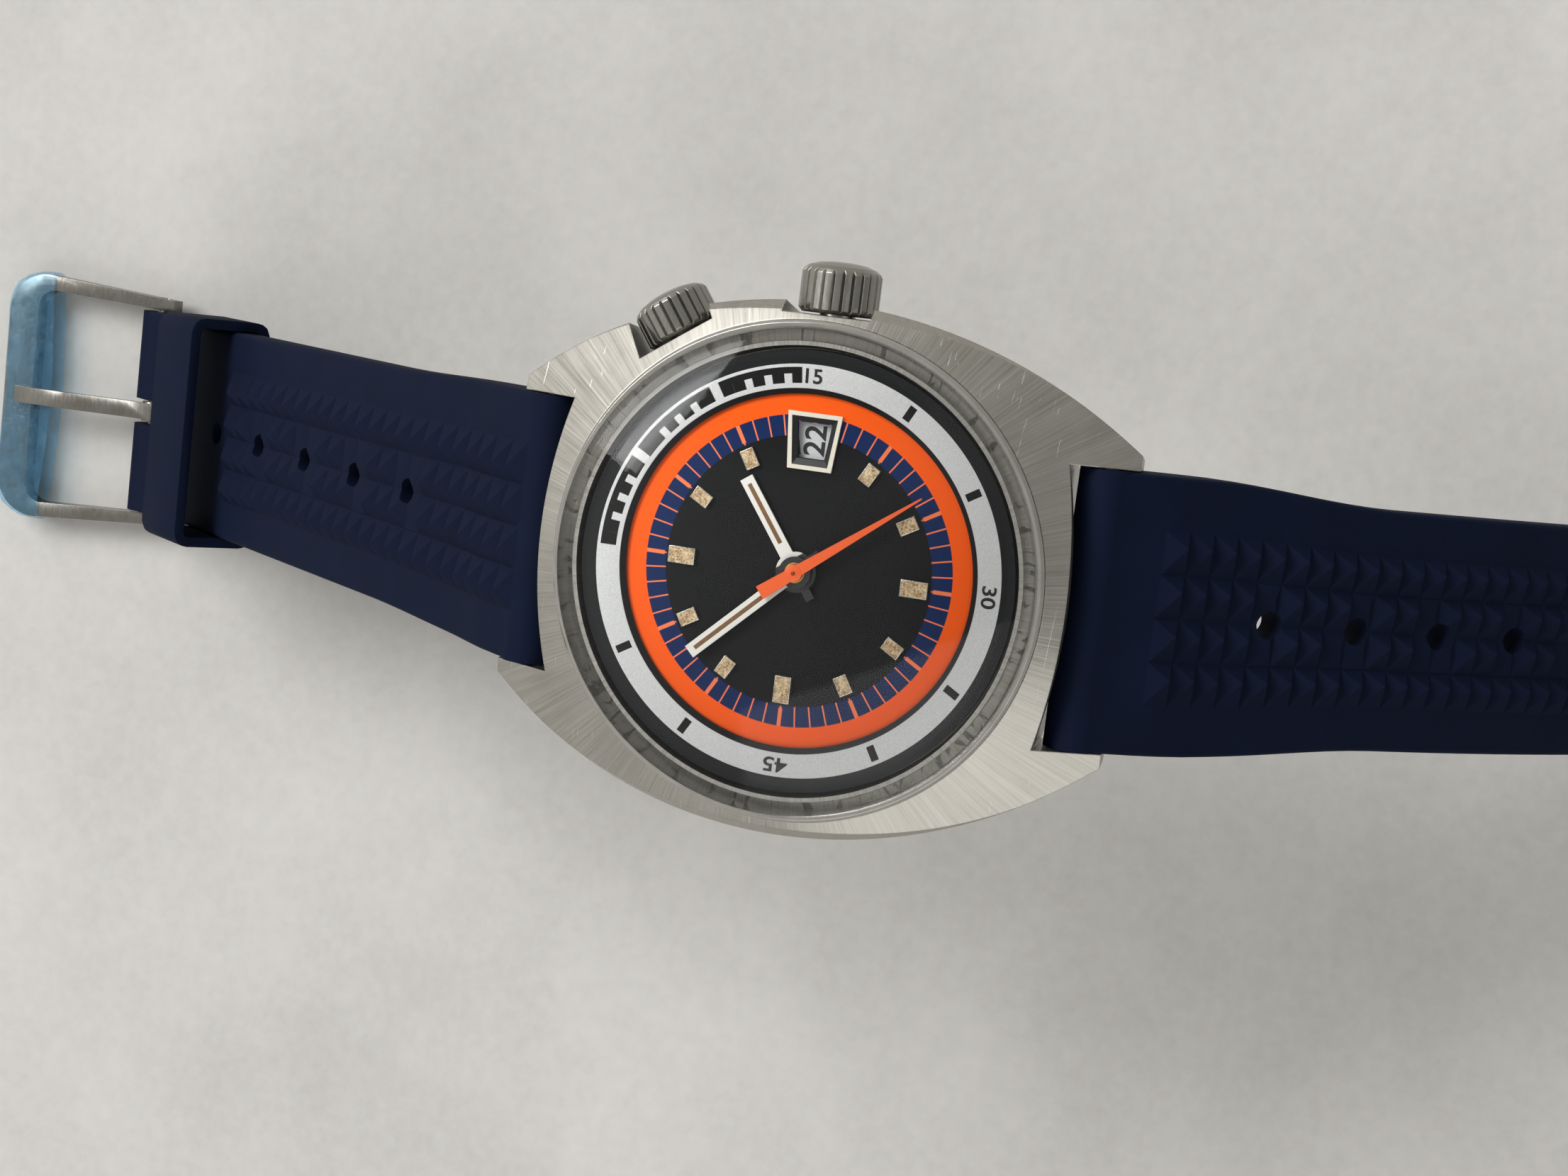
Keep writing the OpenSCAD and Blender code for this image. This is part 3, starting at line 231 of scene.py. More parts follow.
class Finish:
    """A material with one Principled shader, and fields of the point's place."""

    def __init__(self, name, **constants):
        self.material = bpy.data.materials.new(name)
        self.material.use_nodes = True
        self.tree = self.material.node_tree
        self.tree.nodes.clear()
        self.field = Field(self.tree)
        self.output = self.tree.nodes.new("ShaderNodeOutputMaterial")
        self.shader = self.tree.nodes.new("ShaderNodeBsdfPrincipled")
        self.tree.links.new(self.shader.outputs[0], self.output.inputs["Surface"])
        for socket, value in constants.items():
            self.shader.inputs[socket.replace("_", " ")].default_value = value
        place = self.field.node("TexCoord", out="Object")
        self.place = self.field.node("VectorMath", {"operation": "SCALE"},
                                     {0: place, "Scale": 1 / MM})
        self.x, self.y, self.z = self.split(self.place)

    def split(self, vector):
        return [self.field.node("SeparateXYZ", None, {0: vector}, out=i)
                for i in range(3)]

    def join(self, x, y, z):
        return self.field.node("CombineXYZ", None, {0: x, 1: y, 2: z})

    def length(self, a, b):
        return self.field.math("SQRT", a * a + b * b)

    def radius(self):
        """Distance from the dial's axis."""
        return self.length(self.x, self.y)

    def clock(self, offset=0):
        """Degrees clockwise from 12, less an offset, 0 to 360."""
        angle = self.field.math("ARCTAN2", self.x, self.y) * (180 / math.pi) - offset
        return self.field.math("FLOORED_MODULO", angle, 360)

    def noise(self, scale, detail=2.0, where=None, rough=0.5):
        return self.field.node("TexNoise", None, {
            "Vector": where or self.place, "Scale": scale, "Detail": detail, "Roughness": rough})

    def radial_grain(self, fineness, stretch):
        """Noise in streaks that run straight out from the dial's axis."""
        r = self.radius()
        where = self.join(self.x / r * fineness, self.y / r * fineness, r * stretch)
        return self.noise(1, 3, where)

    def turned_grain(self, fineness):
        """Noise in fine rings round the dial's axis, as a lathe leaves."""
        r = self.radius()
        return self.noise(1, 3, self.join(r * fineness, self.x / r * 0.8, self.y / r * 0.8))

    def up(self):
        """How far a face looks up: 1 on a level top, 0 on a wall."""
        normal = self.field.node("NewGeometry", out="True Normal")
        return self.split(normal)[2]

    def set(self, **inputs):
        for name, value in inputs.items():
            self.tree.links.new(value.socket, self.shader.inputs[name.replace("_", " ")])

    def bump(self, height, depth, strength=1.0, soft_edge=0):
        """Lets a height in 0 to 1 tilt the surface, depth in mm, with softened edges."""
        inputs = {"Height": height, "Distance": depth * MM, "Strength": strength}
        if soft_edge:
            inputs["Normal"] = self.field.node("Bevel", {"samples": 4},
                                               {"Radius": soft_edge * MM})
        self.set(Normal=self.field.node("Bump", None, inputs))

    def show_through(self, factor, tint, solid):
        """Lets light straight through, tinted, but for a share of a solid shader."""
        clear = self.field.node("BsdfTransparent", None, {"Color": tint})
        mixed = self.field.node("MixShader", None, {0: factor, 1: clear, 2: solid})
        self.tree.links.new(mixed.socket, self.output.inputs["Surface"])


def one_grain(name, grain, low, high, rough, spread, depth, strength=0.3, soft_edge=0.03,
              **constants):
    """A finish whose colour, gloss and relief all follow one grain."""
    finish = Finish(name, **constants)
    pattern = grain(finish)
    finish.set(Base_Color=pattern.mix(low, high), Roughness=rough + pattern * spread)
    finish.bump(pattern, depth, strength, soft_edge)
    return finish


def mottled(name, low, high, scale, rough, depth, **constants):
    """Paint, plastic and plating: an even mottle, finer with a larger scale."""
    return one_grain(name, lambda f: f.noise(scale, 4), low, high, rough, 0.15, depth,
                     0.4, **constants)


def dress(finish, *names):
    """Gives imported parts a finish."""
    for name in names:
        slots = nodes[name].data.materials
        for i in range(len(slots)):
            slots[i] = finish.material
    print(finish.material.name, "on", len(names), "parts")


# %% [markdown]
# ## Steel of the case
# The top of the case is a shallow cone, brushed outwards from the dial. The narrow bevel
# round it is polished, and the sides are drawn lengthwise. A face's slope tells which is
# which, so one finish covers the whole case. Handling leaves soft smears and scratches.

# %% Case steel
steel_light = tone(204, 201, 193)
steel_dark = tone(108, 105, 96)

case_steel = Finish("brushed_case_steel", Metallic=1.0)
facing = case_steel.up()
brushed = facing.over(0.74, 0.03)
polished = facing.between(0.3, 0.72, 0.03)
streaks = case_steel.radial_grain(150, 0.16)
coarse = case_steel.radial_grain(45, 0.12)
broad = case_steel.radial_grain(9, 0.05)
x, y, z = case_steel.x, case_steel.y, case_steel.z
drawn = case_steel.noise(1, 3, case_steel.join(x * 2, y * 2, z * 30))
smears = case_steel.noise(0.25, 3)
scratches = case_steel.noise(1, 2, case_steel.join(x * 0.5 + y * 6, y * 0.4, z)).over(0.72, 0.02)
grain = brushed * (streaks * 0.75 + coarse * 0.25) + (1 - brushed) * drawn
worn = grain * 0.85 + broad * 0.15
case_steel.set(
    Base_Color=(worn * 0.8 + smears * 0.2 + scratches * 0.3).mix(steel_dark, steel_light),
    Roughness=(0.15 + grain * 0.22 + smears * 0.10) * (1 - polished * 0.55))
case_steel.bump(grain * (1 - polished) + scratches * 0.5, 0.03, 0.45, soft_edge=0.12)
dress(case_steel, "mid_case")

back_steel = Finish("turned_back_steel", Metallic=1.0)
rings = back_steel.turned_grain(26)
marks = back_steel.noise(0.35, 4)
back_steel.set(Base_Color=(rings * 0.6 + marks * 0.4).mix(steel_dark, steel_light),
               Roughness=0.18 + rings * 0.22 + marks * 0.12)
back_steel.bump(rings, 0.015, 0.4, soft_edge=0.15)
dress(back_steel, "caseback")

# %% [markdown]
# ## Polished steel
# The thin ring round the crystal, the spring bars and the crown tubes are bright turned steel,
# roughened a little by a faint turning grain and a few smears. The tension ring inside is
# brushed straight out from the dial's axis.

# %% Polished steel
bright_steel = Finish("bright_steel", Metallic=1.0)
turned = bright_steel.turned_grain(18)
haze = bright_steel.noise(0.6, 3)
bright_steel.set(
    Base_Color=(turned * 0.5 + haze * 0.5).mix(tone(150, 148, 142), tone(198, 196, 191)),
    Roughness=0.10 + turned * 0.12 + haze * 0.10)
bright_steel.bump(turned, 0.01, 0.3, soft_edge=0.06)
dress(bright_steel, "bezel_ring", "spring_bars", "main_crown_tube", "second_crown_tube")

dress(one_grain("brushed_inner_steel", lambda f: f.radial_grain(120, 0.2),
                tone(128, 126, 120), tone(200, 198, 192), 0.24, 0.25, 0.02, 0.5, soft_edge=0,
                Metallic=1.0), "tension_ring")

# %% [markdown]
# ## Crowns
# Both crowns are fluted, polished and a shade darker than the case, and the grooves between
# the ridges are painted darker, as painted shade. The distance from the crown's axis tells
# ridge from groove. The second crown's axis leans 35 degrees from the first, so its
# coordinates are turned.

# %% Crown steel
CROWN_HEIGHT = 5.1
SECOND_ANGLE = math.radians(35)


def crown_steel(name, angle, radius, end_at):
    """Steel for a crown of a radius, whose smooth end starts at a length along its axis."""
    finish = Finish(name, Metallic=1.0)
    across = finish.y * math.cos(angle) - finish.x * math.sin(angle)
    ridge = finish.length(across, finish.z - CROWN_HEIGHT).over(radius - 0.16, 0.14)
    along = finish.x * math.cos(angle) + finish.y * math.sin(angle)
    end = along.over(end_at, 0.3)
    scratches = finish.noise(1, 3, finish.join(finish.x * 1.5, finish.y * 6, finish.z * 6))
    # Painted shade: the grooves between the ridges are coloured darker than the ridges and the
    # smooth end.
    ridge_or_end_unshaded = finish.field.math("MINIMUM", ridge + end, 1.0)
    tinted = ridge_or_end_unshaded * 0.75 + scratches * 0.25
    finish.set(Base_Color=tinted.mix(tone(58, 56, 52), tone(152, 150, 143)),
               Roughness=0.34 - ridge_or_end_unshaded * 0.16 + scratches * 0.12)
    finish.bump(scratches, 0.02, 0.25, soft_edge=0.08)
    return finish


dress(crown_steel("main_crown_steel", 0, 2.85, 21.0), "main_crown")
dress(crown_steel("second_crown_steel", SECOND_ANGLE, 2.8, 21.4), "second_crown")

# %% [markdown]
# ## Crystal
# The crystal is a domed acrylic cover. Bent light would leave the dial behind it dark and
# noisy, so it is made thin: mostly clear, with a mirror that grows towards the rim as
# Fresnel says. Old acrylic has hairline scratches, which only the mirror shows.

# %% Crystal
crystal = Finish("clear_acrylic")
hairlines = crystal.noise(1, 2, crystal.join(crystal.x * 0.7 + crystal.y * 9, crystal.y * 0.5, 0))
swirls = crystal.noise(0.3, 3)
mirror = crystal.field.node("Fresnel", None, {"IOR": 1.49})
wear = hairlines.over(0.71, 0.02) * 0.008 + swirls * 0.001
gloss = crystal.field.node("BsdfGlossy", None, {"Roughness": 0.03})
crystal.show_through(mirror * (mirror * 0.6 + 0.24) + wear, (0.997, 1, 0.997, 1), gloss)
crystal.tree.nodes.remove(crystal.shader)
dress(crystal, "crystal")

# %% [markdown]
# ## Dial
# The dial is one printed disc: satin black in the middle, a blue minute track with thin
# orange lines, and a broad orange ring. The shader draws the print from radius and angle,
# so it is sharp at any zoom. An orange bar marks every fifth minute.

# %% Dial print
DIAL_BLACK = (tone(15, 16, 18), tone(19, 20, 22))
TRACK_BLUE = (tone(7, 32, 78), tone(14, 42, 92))
RING_ORANGE = (tone(252, 88, 12), tone(255, 100, 18))
LINE_ORANGE = tone(246, 128, 82)
TRACK_FROM, RING_FROM, BARS_FROM = 9.6, 11.06, 9.75
THIN_HALF, BAR_HALF = 0.05, 0.14
DEGREE = math.pi / 180

dial = Finish("printed_dial", Specular_IOR_Level=0.12)
reach = dial.radius()
minute = dial.clock()
sheen = dial.noise(22, 3)
track = reach.over(TRACK_FROM, 0.03)
rim = reach.over(RING_FROM, 0.03)
along_track = reach * DEGREE
thin = (1 - (minute.repeat(6) * along_track).over(THIN_HALF, 0.02)) * track
bars = (1 - (minute.repeat(30) * along_track).over(BAR_HALF, 0.02)) * reach.over(BARS_FROM, 0.02)
lines = dial.field.math("MAXIMUM", thin, bars)
ground = track.mix(sheen.mix(*DIAL_BLACK), sheen.mix(*TRACK_BLUE))
printed = rim.mix(lines.mix(ground, LINE_ORANGE), sheen.mix(*RING_ORANGE))
dial.set(Base_Color=printed, Roughness=0.45 + sheen * 0.10 - rim * 0.05)
dial.bump(sheen * 0.15 + lines * 0.85, 0.002, 0.25)
dress(dial, "dial")

# %% [markdown]
# ## Inner ring
# The ring turns under the crystal. Its silver band is grained like cast sand, its inner
# chamfer and outer slope are dark, and the print on it is a comb over the first fifteen
# minutes and a bar every five after. The comb is a dark block with four silver teeth that
# rise from its inner edge. The ring stands one degree before 12.

# %% Ring print
RING_OFFSET = -1.0
BAND_FROM, BAND_TO = 12.88, 14.56
PRINT_FROM, PRINT_TO = 13.22, 14.34
TOOTH_TO = 13.88
ring = Finish("grained_ring", Specular_IOR_Level=0.2)
reach = ring.radius()
degrees = ring.clock(RING_OFFSET)
sand = ring.noise(9, 4, rough=0.65)
fine_sand = ring.noise(22, 2)
band = reach.between(BAND_FROM, BAND_TO, 0.015)
print_zone = reach.between(PRINT_FROM, PRINT_TO, 0.015)

from_bar = degrees.repeat(30) * reach * DEGREE
has_bar = degrees.between(105, 345, 0.5) * degrees.repeat(90).over(10, 0.5)
bars = (1 - from_bar.over(0.28, 0.02)) * reach.between(13.2, 14.3, 0.015) * has_bar

in_block = degrees - 30 * ring.field.math("FLOOR", degrees / 30)
block_end = 28.4 - degrees.over(60, 0.5) * 2.3
blocks = in_block.between(1.2, block_end, 0.15) * (1 - degrees.over(88, 0.5)) * print_zone
from_tooth = (in_block - 3.9).repeat(6)
has_tooth = in_block.between(5.2, 26.5, 0.3) * (1 - reach.over(TOOTH_TO, 0.02))
teeth = (1 - from_tooth.over(1.15, 0.12)) * has_tooth
ink = ring.field.math("MAXIMUM", bars, blocks * (1 - teeth))

silver = (sand * 0.7 + fine_sand * 0.3).mix(tone(160, 162, 163), tone(252, 254, 254))
dark = sand.mix(tone(20, 22, 24), tone(34, 36, 38))
inked = ink.mix(band.mix(dark, silver), tone(14, 14, 15))
ring.set(Base_Color=inked, Metallic=band * (1 - ink) * 0.3,
         Roughness=0.34 + band * 0.16 + sand * 0.10)
ring.bump(band * (1 - ink) * (sand * 0.6 + fine_sand * 0.4), 0.04, 0.5)
dress(ring, "marks_ring")

# %% [markdown]
# ## Hands
# The hour and minute hands are white batons with a slot of aged paint and a black tail.
# The seconds hand is a bright orange needle. The finish measures along the hand, so that
# white starts at the right distance from the middle.

# %% Hand finishes
HOUR_ANGLE, MINUTE_ANGLE, SECONDS_ANGLE = 54.6, 315.9, 142.5


def along_hand(finish, angle):
    """Distance along a hand that points at an angle, clockwise from 12."""
    a = math.radians(angle)
    return finish.x * math.sin(a) + finish.y * math.cos(a)


def hand_white(name, angle, white_from):
    finish = Finish(name, Coat_Weight=0.3)
    far = along_hand(finish, angle).over(white_from, 0.05)
    speck = finish.noise(8, 3)
    finish.set(Base_Color=far.mix(tone(24, 24, 25), tone(236, 234, 228)),
               Roughness=0.30 + speck * 0.18)
    finish.bump(speck, 0.008, 0.3, soft_edge=0.04)
    return finish


dress(hand_white("hour_hand_white", HOUR_ANGLE, 0.95), "hour_hand")
dress(hand_white("minute_hand_white", MINUTE_ANGLE, 1.0), "minute_hand")

needle = one_grain("orange_needle", lambda f: f.noise(6, 3), tone(248, 88, 16),
                   tone(255, 106, 32), 0.30, 0.15, 0.008, soft_edge=0.04, Coat_Weight=0.2)
dress(needle, "seconds_hand")

# %% [markdown]
# ## Movement
# The parts out of sight get the finishes that a watchmaker gives them. Plates are
# nickel-plated, with small ground spots; wheels are gilt; springs and screws are
# heat-blued; pinions are grey steel; and the rotor is brushed in rings.

# %% Movement finishes
nickel = Finish("spotted_nickel", Metallic=1.0)
cell = nickel.field.node("TexVoronoi", {"feature": "F1"},
                         {"Vector": nickel.place, "Scale": 0.75, "Randomness": 0.12})
ripple = nickel.field.math("SINE", cell * 60) * 0.5 + 0.5
dust = nickel.noise(2, 3)
nickel.set(Base_Color=(cell * 0.8 + dust * 0.2).mix(tone(224, 220, 208), tone(176, 170, 158)),
           Roughness=0.20 + cell * 0.22 + dust * 0.08)
nickel.bump(ripple, 0.01, 0.3, soft_edge=0.08)
dress(nickel, "main_plate", "barrel_bridge", "train_bridge", "pallet_bridge", "balance_cock",
      "movement_clamps")

gilt = Finish("gilt_brass", Metallic=1.0)
tarnish = gilt.noise(1.6, 4)
cuts = gilt.noise(1, 2, gilt.join(gilt.x * 14, gilt.y * 1.5, gilt.z * 3))
gilt.set(Base_Color=tarnish.mix(tone(196, 152, 84), tone(232, 196, 120)),
         Roughness=0.22 + cuts * 0.14 + tarnish * 0.10)
gilt.bump(cuts, 0.01, 0.3, soft_edge=0.03)
dress(gilt, "barrel", "second_wheel", "third_wheel", "fourth_wheel", "balance_wheel",
      "cannon_pinion", "minute_wheel", "hour_wheel", "reverser_wheel", "second_stem")

blued = one_grain("heat_blued", lambda f: f.noise(1.2, 3), tone(30, 38, 86),
                  tone(50, 70, 136), 0.16, 0.14, 0.005, 0.2, soft_edge=0.04, Metallic=1.0)
dress(blued, "bridge_screws", "clamp_screws", "rotor_screw", "winding_stem", "mainspring",
      "hairspring")


def filed_grain(finish):
    return finish.noise(1, 3, finish.join(finish.x * 3, finish.y * 12, finish.z * 6))


pinion = one_grain("filed_steel", filed_grain, tone(150, 149, 146), tone(206, 205, 202),
                   0.18, 0.18, 0.01, Metallic=1.0)
dress(pinion, "barrel_arbor", "escape_wheel", "pallet_fork", "ratchet_wheel", "crown_wheel",
      "winding_pinion", "sliding_pinion")

dress(one_grain("arc_brushed_rotor", lambda f: f.turned_grain(24),
                tone(160, 157, 151), tone(214, 211, 205), 0.2, 0.22, 0.015, 0.4, soft_edge=0.06,
                Metallic=1.0), "rotor")

# %% [markdown]
# ## Plastic and seals
# The casing ring is cream nylon, the seals are black nitrile, and the date disc is white
# enamel paint on thin metal. Each has a faint mottle.

# %% Plain finishes
dress(mottled("casing_nylon", tone(196, 186, 156), tone(222, 214, 188), 3, 0.45, 0.02),
      "casing_ring")
dress(mottled("nitrile", tone(18, 18, 19), tone(34, 34, 35), 6, 0.55, 0.02),
      "caseback_gasket", "main_crown_seal", "second_crown_seal")
dress(mottled("date_paint", tone(188, 190, 193), tone(212, 214, 216), 7, 0.35, 0.004),
      "date_disc")
dress(mottled("date_frame_cream", tone(222, 216, 196), tone(240, 236, 222), 7, 0.32, 0.01),
      "date_frame")

# %% [markdown]
# ## Modelling by hand
# New pieces start from a primitive, in millimetres round the origin, and are shaped with
# the operators of edit mode. Short helpers start a primitive with nothing else selected,
# pick faces or edges by where they are, and put the place and scale in the mesh.

# %% Modelling helpers


def leave_edit():
    if bpy.context.mode != "OBJECT":
        bpy.ops.object.mode_set(mode="OBJECT")


def start(name, primitive, scale=(1, 1, 1), **where):
    """Adds a primitive with all else deselected."""
    leave_edit()
    bpy.ops.object.select_all(action="DESELECT")
    primitive(**where)
    piece = bpy.context.object
    piece.name = piece.data.name = name
    piece.scale = scale
    return piece


def block(name, low, high):
    """A cube shaped to run from one corner to another."""
    low, high = Vector(low), Vector(high)
    return start(name, bpy.ops.mesh.primitive_cube_add, size=1, location=(low + high) / 2,
                 scale=high - low)


def disc(name, radius, depth, at, vertices=40, **turn):
    """An upright cylinder round a point."""
    return start(name, bpy.ops.mesh.primitive_cylinder_add, vertices=vertices, radius=radius,
                 depth=depth, location=at, **turn)


def rod(name, radius, half, y):
    """A bar across the strap."""
    return disc(name, radius, 2 * half, (0, y, 0), rotation=(0, math.pi / 2, 0))


def bake_place(piece):
    """Moves an object's place, turn and scale into its mesh."""
    leave_edit()
    only(piece)
    bpy.ops.object.transform_apply(location=True, rotation=True, scale=True)


def only(*pieces):
    bpy.ops.object.select_all(action="DESELECT")
    for piece in pieces:
        piece.select_set(True)
    bpy.context.view_layer.objects.active = pieces[0]


def pick(piece, kind, test):
    """Opens edit mode with the faces, edges or points selected that pass a test.

    The test takes a place, and a normal or, for an edge, its direction.
    """
    leave_edit()
    only(piece)
    bpy.ops.object.mode_set(mode="EDIT")
    bpy.ops.mesh.select_mode(type=kind)
    bpy.ops.mesh.select_all(action="DESELECT")
    bpy.ops.object.mode_set(mode="OBJECT")
    mesh = piece.data
    if kind == "FACE":
        chosen = [f for f in mesh.polygons if test(f.center, f.normal)]
    elif kind == "EDGE":
        ends = [(e, [mesh.vertices[i].co for i in e.vertices]) for e in mesh.edges]
        chosen = [e for e, (a, b) in ends if test((a + b) / 2, (b - a).normalized())]
    else:
        chosen = [v for v in mesh.vertices if test(v.co, v.normal)]
    for part in chosen:
        part.select = True
    bpy.ops.object.mode_set(mode="EDIT")
    return len(chosen)


def slice_all(co, no):
    """Cuts the whole mesh in edit mode along a plane."""
    bpy.ops.mesh.select_all(action="SELECT")
    bpy.ops.mesh.bisect(plane_co=co, plane_no=no)


def modify(piece, kind, **settings):
    """Adds a modifier and applies it at once."""
    leave_edit()
    only(piece)
    modifier = piece.modifiers.new(kind.lower(), kind)
    for name, value in settings.items():
        setattr(modifier, name, value)
    bpy.ops.object.modifier_apply(modifier=modifier.name)


def cut(piece, cutter, operation="DIFFERENCE"):
    """Cuts a piece with another, which is then thrown away."""
    bake_place(cutter)
    modify(piece, "BOOLEAN", object=cutter, operation=operation, solver="EXACT")
    bpy.data.objects.remove(cutter)


def join(name, parts):
    leave_edit()
    only(*parts)
    bpy.ops.object.join()
    whole = bpy.context.object
    whole.name = whole.data.name = name
    return whole


def finish_piece(piece, body, finish, smooth=30):
    """Scales a piece to metres, smooths it, dresses it and lets it ride on its body."""
    leave_edit()
    only(piece)
    piece.scale = (MM, MM, MM)
    piece.location = piece.location * MM
    bpy.ops.object.transform_apply(location=True, rotation=True, scale=True)
    if smooth:
        bpy.ops.object.shade_smooth_by_angle(angle=math.radians(smooth))
    piece.data.materials.clear()
    piece.data.materials.append(finish.material)
    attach(piece, body)
    print(piece.name, "rides on", body, "with", len(piece.data.polygons), "faces")
    return piece


# %% [markdown]
# ## Rubber
# The strap and keeper are moulded rubber in a very dark navy, matt, with a fine skin, a few
# dull patches from handling and specks of dust.

# %% Strap rubber
rubber = Finish("navy_rubber", Specular_IOR_Level=0.06)
skin = rubber.noise(11, 4)
patches = rubber.noise(0.35, 3)
specks = rubber.noise(3.2, 1).over(0.80, 0.01)
rubber.set(Base_Color=(specks * 0.6 + patches * 0.4).mix(tone(6, 12, 29), tone(14, 25, 47)),
           Roughness=0.60 + skin * 0.14 + patches * 0.10)
rubber.bump(skin, 0.03, 0.3, soft_edge=0.12)

# %% [markdown]
# ## The strap halves
# Each half is a band with four lanes of small scales moulded in its face, an eye for its
# bar at the end, and a row of holes. One flat strip the width of the strap, cut into
# lanes, is extruded row by row, thickened, and swollen towards its eye. A scale is one
# face of that grid: inset and lifted a little, poked into a low pyramid, and its point
# pushed off centre, so that it has one long lit side and one in shade.

# %% Rolling out a strap
THICK = 2.6
EYE = 2.0
LUG_BORE, BUCKLE_BORE = 0.95, 0.85
LUG_HALF = 9.9
SHORT_WIDTH, LONG_WIDTH = 19, 17.7
LANE = 3.1
SCALE_HEIGHT = 0.75
SCALE_LEAN = (-0.4, 0.55, 0)
HOLE, ROUND_HOLE = 1.0, 2.1
TAPER_FROM, TAPER_TO = 7, 24
HINGE_Y, HINGE_Z = 20.3, 4.5


def ease(s, low, high):
    """Rises smoothly from 0 at one length to 1 at another."""
    u = min(max((s - low) / (high - low), 0), 1)
    return u * u * (3 - 2 * u)


def band_half(s, width):
    """Half the strap's width at a length from its spring bar."""
    return LUG_HALF - (2 * LUG_HALF - width) / 2 * ease(s, TAPER_FROM, TAPER_TO)


def roll_strip(name, stations):
    """A thick band along +Y: stations are pairs of length and half-width."""
    (s0, half0), (s1, half1) = stations[:2]
    piece = start(name, bpy.ops.mesh.primitive_plane_add, size=1,
                  location=(0, (s0 + s1) / 2, 0), scale=(2 * half0, s1 - s0, 1))
    bake_place(piece)
    bpy.ops.object.mode_set(mode="EDIT")
    for lane in (-2, -1, 0, 1, 2):
        slice_all((lane * LANE, 0, 0), (1, 0, 0))
    pick(piece, "EDGE", lambda p, way: p.y > s1 - 1e-4)
    half, s_from = half0, s1
    for s_to, half_to in stations[2:]:
        bpy.ops.mesh.extrude_region_move(TRANSFORM_OT_translate={"value": (0, s_to - s_from, 0)})
        bpy.ops.transform.resize(value=(half_to / half, 1, 1), center_override=(0, s_to, 0))
        half, s_from = half_to, s_to
    modify(piece, "SOLIDIFY", thickness=THICK, offset=0)
    for side in (-1, 1):
        pick(piece, "FACE", lambda p, n: n.x * side > 0.9)
        bpy.ops.mesh.region_to_loop()
        bpy.ops.mesh.bevel(offset=0.45, segments=5)
    return piece


def raise_scales(piece, low, high):
    """Turns the lane faces on top, between two lengths, into pyramids that lean to the tip."""
    count = pick(piece, "FACE", lambda p, n: n.z > 0.9
                 and abs(p.x) < 2 * LANE and low < p.y < high)
    bpy.ops.mesh.inset(thickness=0.07, depth=0.05, use_individual=True)
    bpy.ops.mesh.poke(offset=SCALE_HEIGHT)
    pick(piece, "VERT", lambda p, n: p.z > THICK / 2 + SCALE_HEIGHT / 2)
    bpy.ops.transform.translate(value=SCALE_LEAN)
    leave_edit()
    return count


def swell(piece, eye_at, reach, slice_long=0.4):
    """Thickens the band towards an eye, slice by slice, so that its bar has rubber all round."""
    for k in range(round(reach / slice_long)):
        near, far = k * slice_long, (k + 1) * slice_long
        lift = (1 - ease(near + slice_long / 2, 0.3 * reach, reach)) * (EYE - 0.03 - THICK / 2)
        for side in (-1, 1):
            if pick(piece, "VERT", lambda p, n: near <= abs(p.y - eye_at) < far
                    and p.z * side > 0):
                bpy.ops.transform.translate(value=(0, 0, side * lift))
    leave_edit()


def hang(piece, turn, y):
    """Turns a rolled-out piece and puts its start on a spring bar."""
    piece.rotation_euler = turn
    piece.location = (0, y, HINGE_Z)
    bake_place(piece)


def punch(piece, places):
    """Lowers the scales round each hole for the buckle's tongue, and cuts the hole."""
    for s in places:
        pick(piece, "VERT", lambda p, n: p.z > THICK / 2
             and math.hypot(p.x, p.y - s) < ROUND_HOLE)
        bpy.ops.transform.resize(value=(1, 1, 0.3), center_override=(0, s, THICK / 2))
        cut(piece, disc("hole", HOLE, 8, (0, s, 0)))


# %% [markdown]
# The short half is straight, since the buckle's weight holds it so. It ends in a plain head
# with a second eye for the buckle bar, slit in the middle to let the tongue through.

# %% Short half
SHORT_LENGTH = 75.5
HEAD_START = 64.5
HEAD_HALF = 9.85
SLOT_HALF, SLOT_LONG = 1.25, 3.2
SHORT_SLOPE = math.radians(40)
SHORT_ROW = 2.4
SHORT_SCALES_TO = 54.8
SHORT_HOLES = [18.9 + 9.6 * k for k in range(5)]

rows = [0.0, 2.0] + [4.4 + SHORT_ROW * k for k in range(22)] + [57.5, 60.5, HEAD_START - 0.9]
stations = [(s, band_half(s, SHORT_WIDTH)) for s in rows]
stations += [(HEAD_START, 9.68), (HEAD_START + 0.9, HEAD_HALF)]
stations += [(SHORT_LENGTH - back, HEAD_HALF) for back in (8, 6, 4, 2, 0)]
short_half = roll_strip("strap_short_moulded", stations)
scale_count = raise_scales(short_half, 0.0, SHORT_SCALES_TO)
swell(short_half, 0, 11)
swell(short_half, SHORT_LENGTH, 6)

cut(short_half, rod("lug_eye", EYE, band_half(0, SHORT_WIDTH), 0), "UNION")
cut(short_half, rod("buckle_eye", EYE, HEAD_HALF, SHORT_LENGTH), "UNION")
cut(short_half, rod("lug_bore", LUG_BORE, 20, 0))
cut(short_half, rod("buckle_bore", BUCKLE_BORE, 20, SHORT_LENGTH))
cut(short_half, block("tongue_slot", (-SLOT_HALF, SHORT_LENGTH - SLOT_LONG, -5),
                      (SLOT_HALF, SHORT_LENGTH + 5, 5)))
punch(short_half, SHORT_HOLES)
hang(short_half, (-SHORT_SLOPE, 0, 0), HINGE_Y)
finish_piece(short_half, "strap_short", rubber, smooth=22)
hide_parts("strap_short")
print("scales on the short half:", scale_count)

# %% [markdown]
# The long half hangs in a curve and ends flat, with a round tip. It is rolled out straight
# too, and then bent a little at every row, from the tip to the eye: all that lies past a
# row turns about that row's middle.

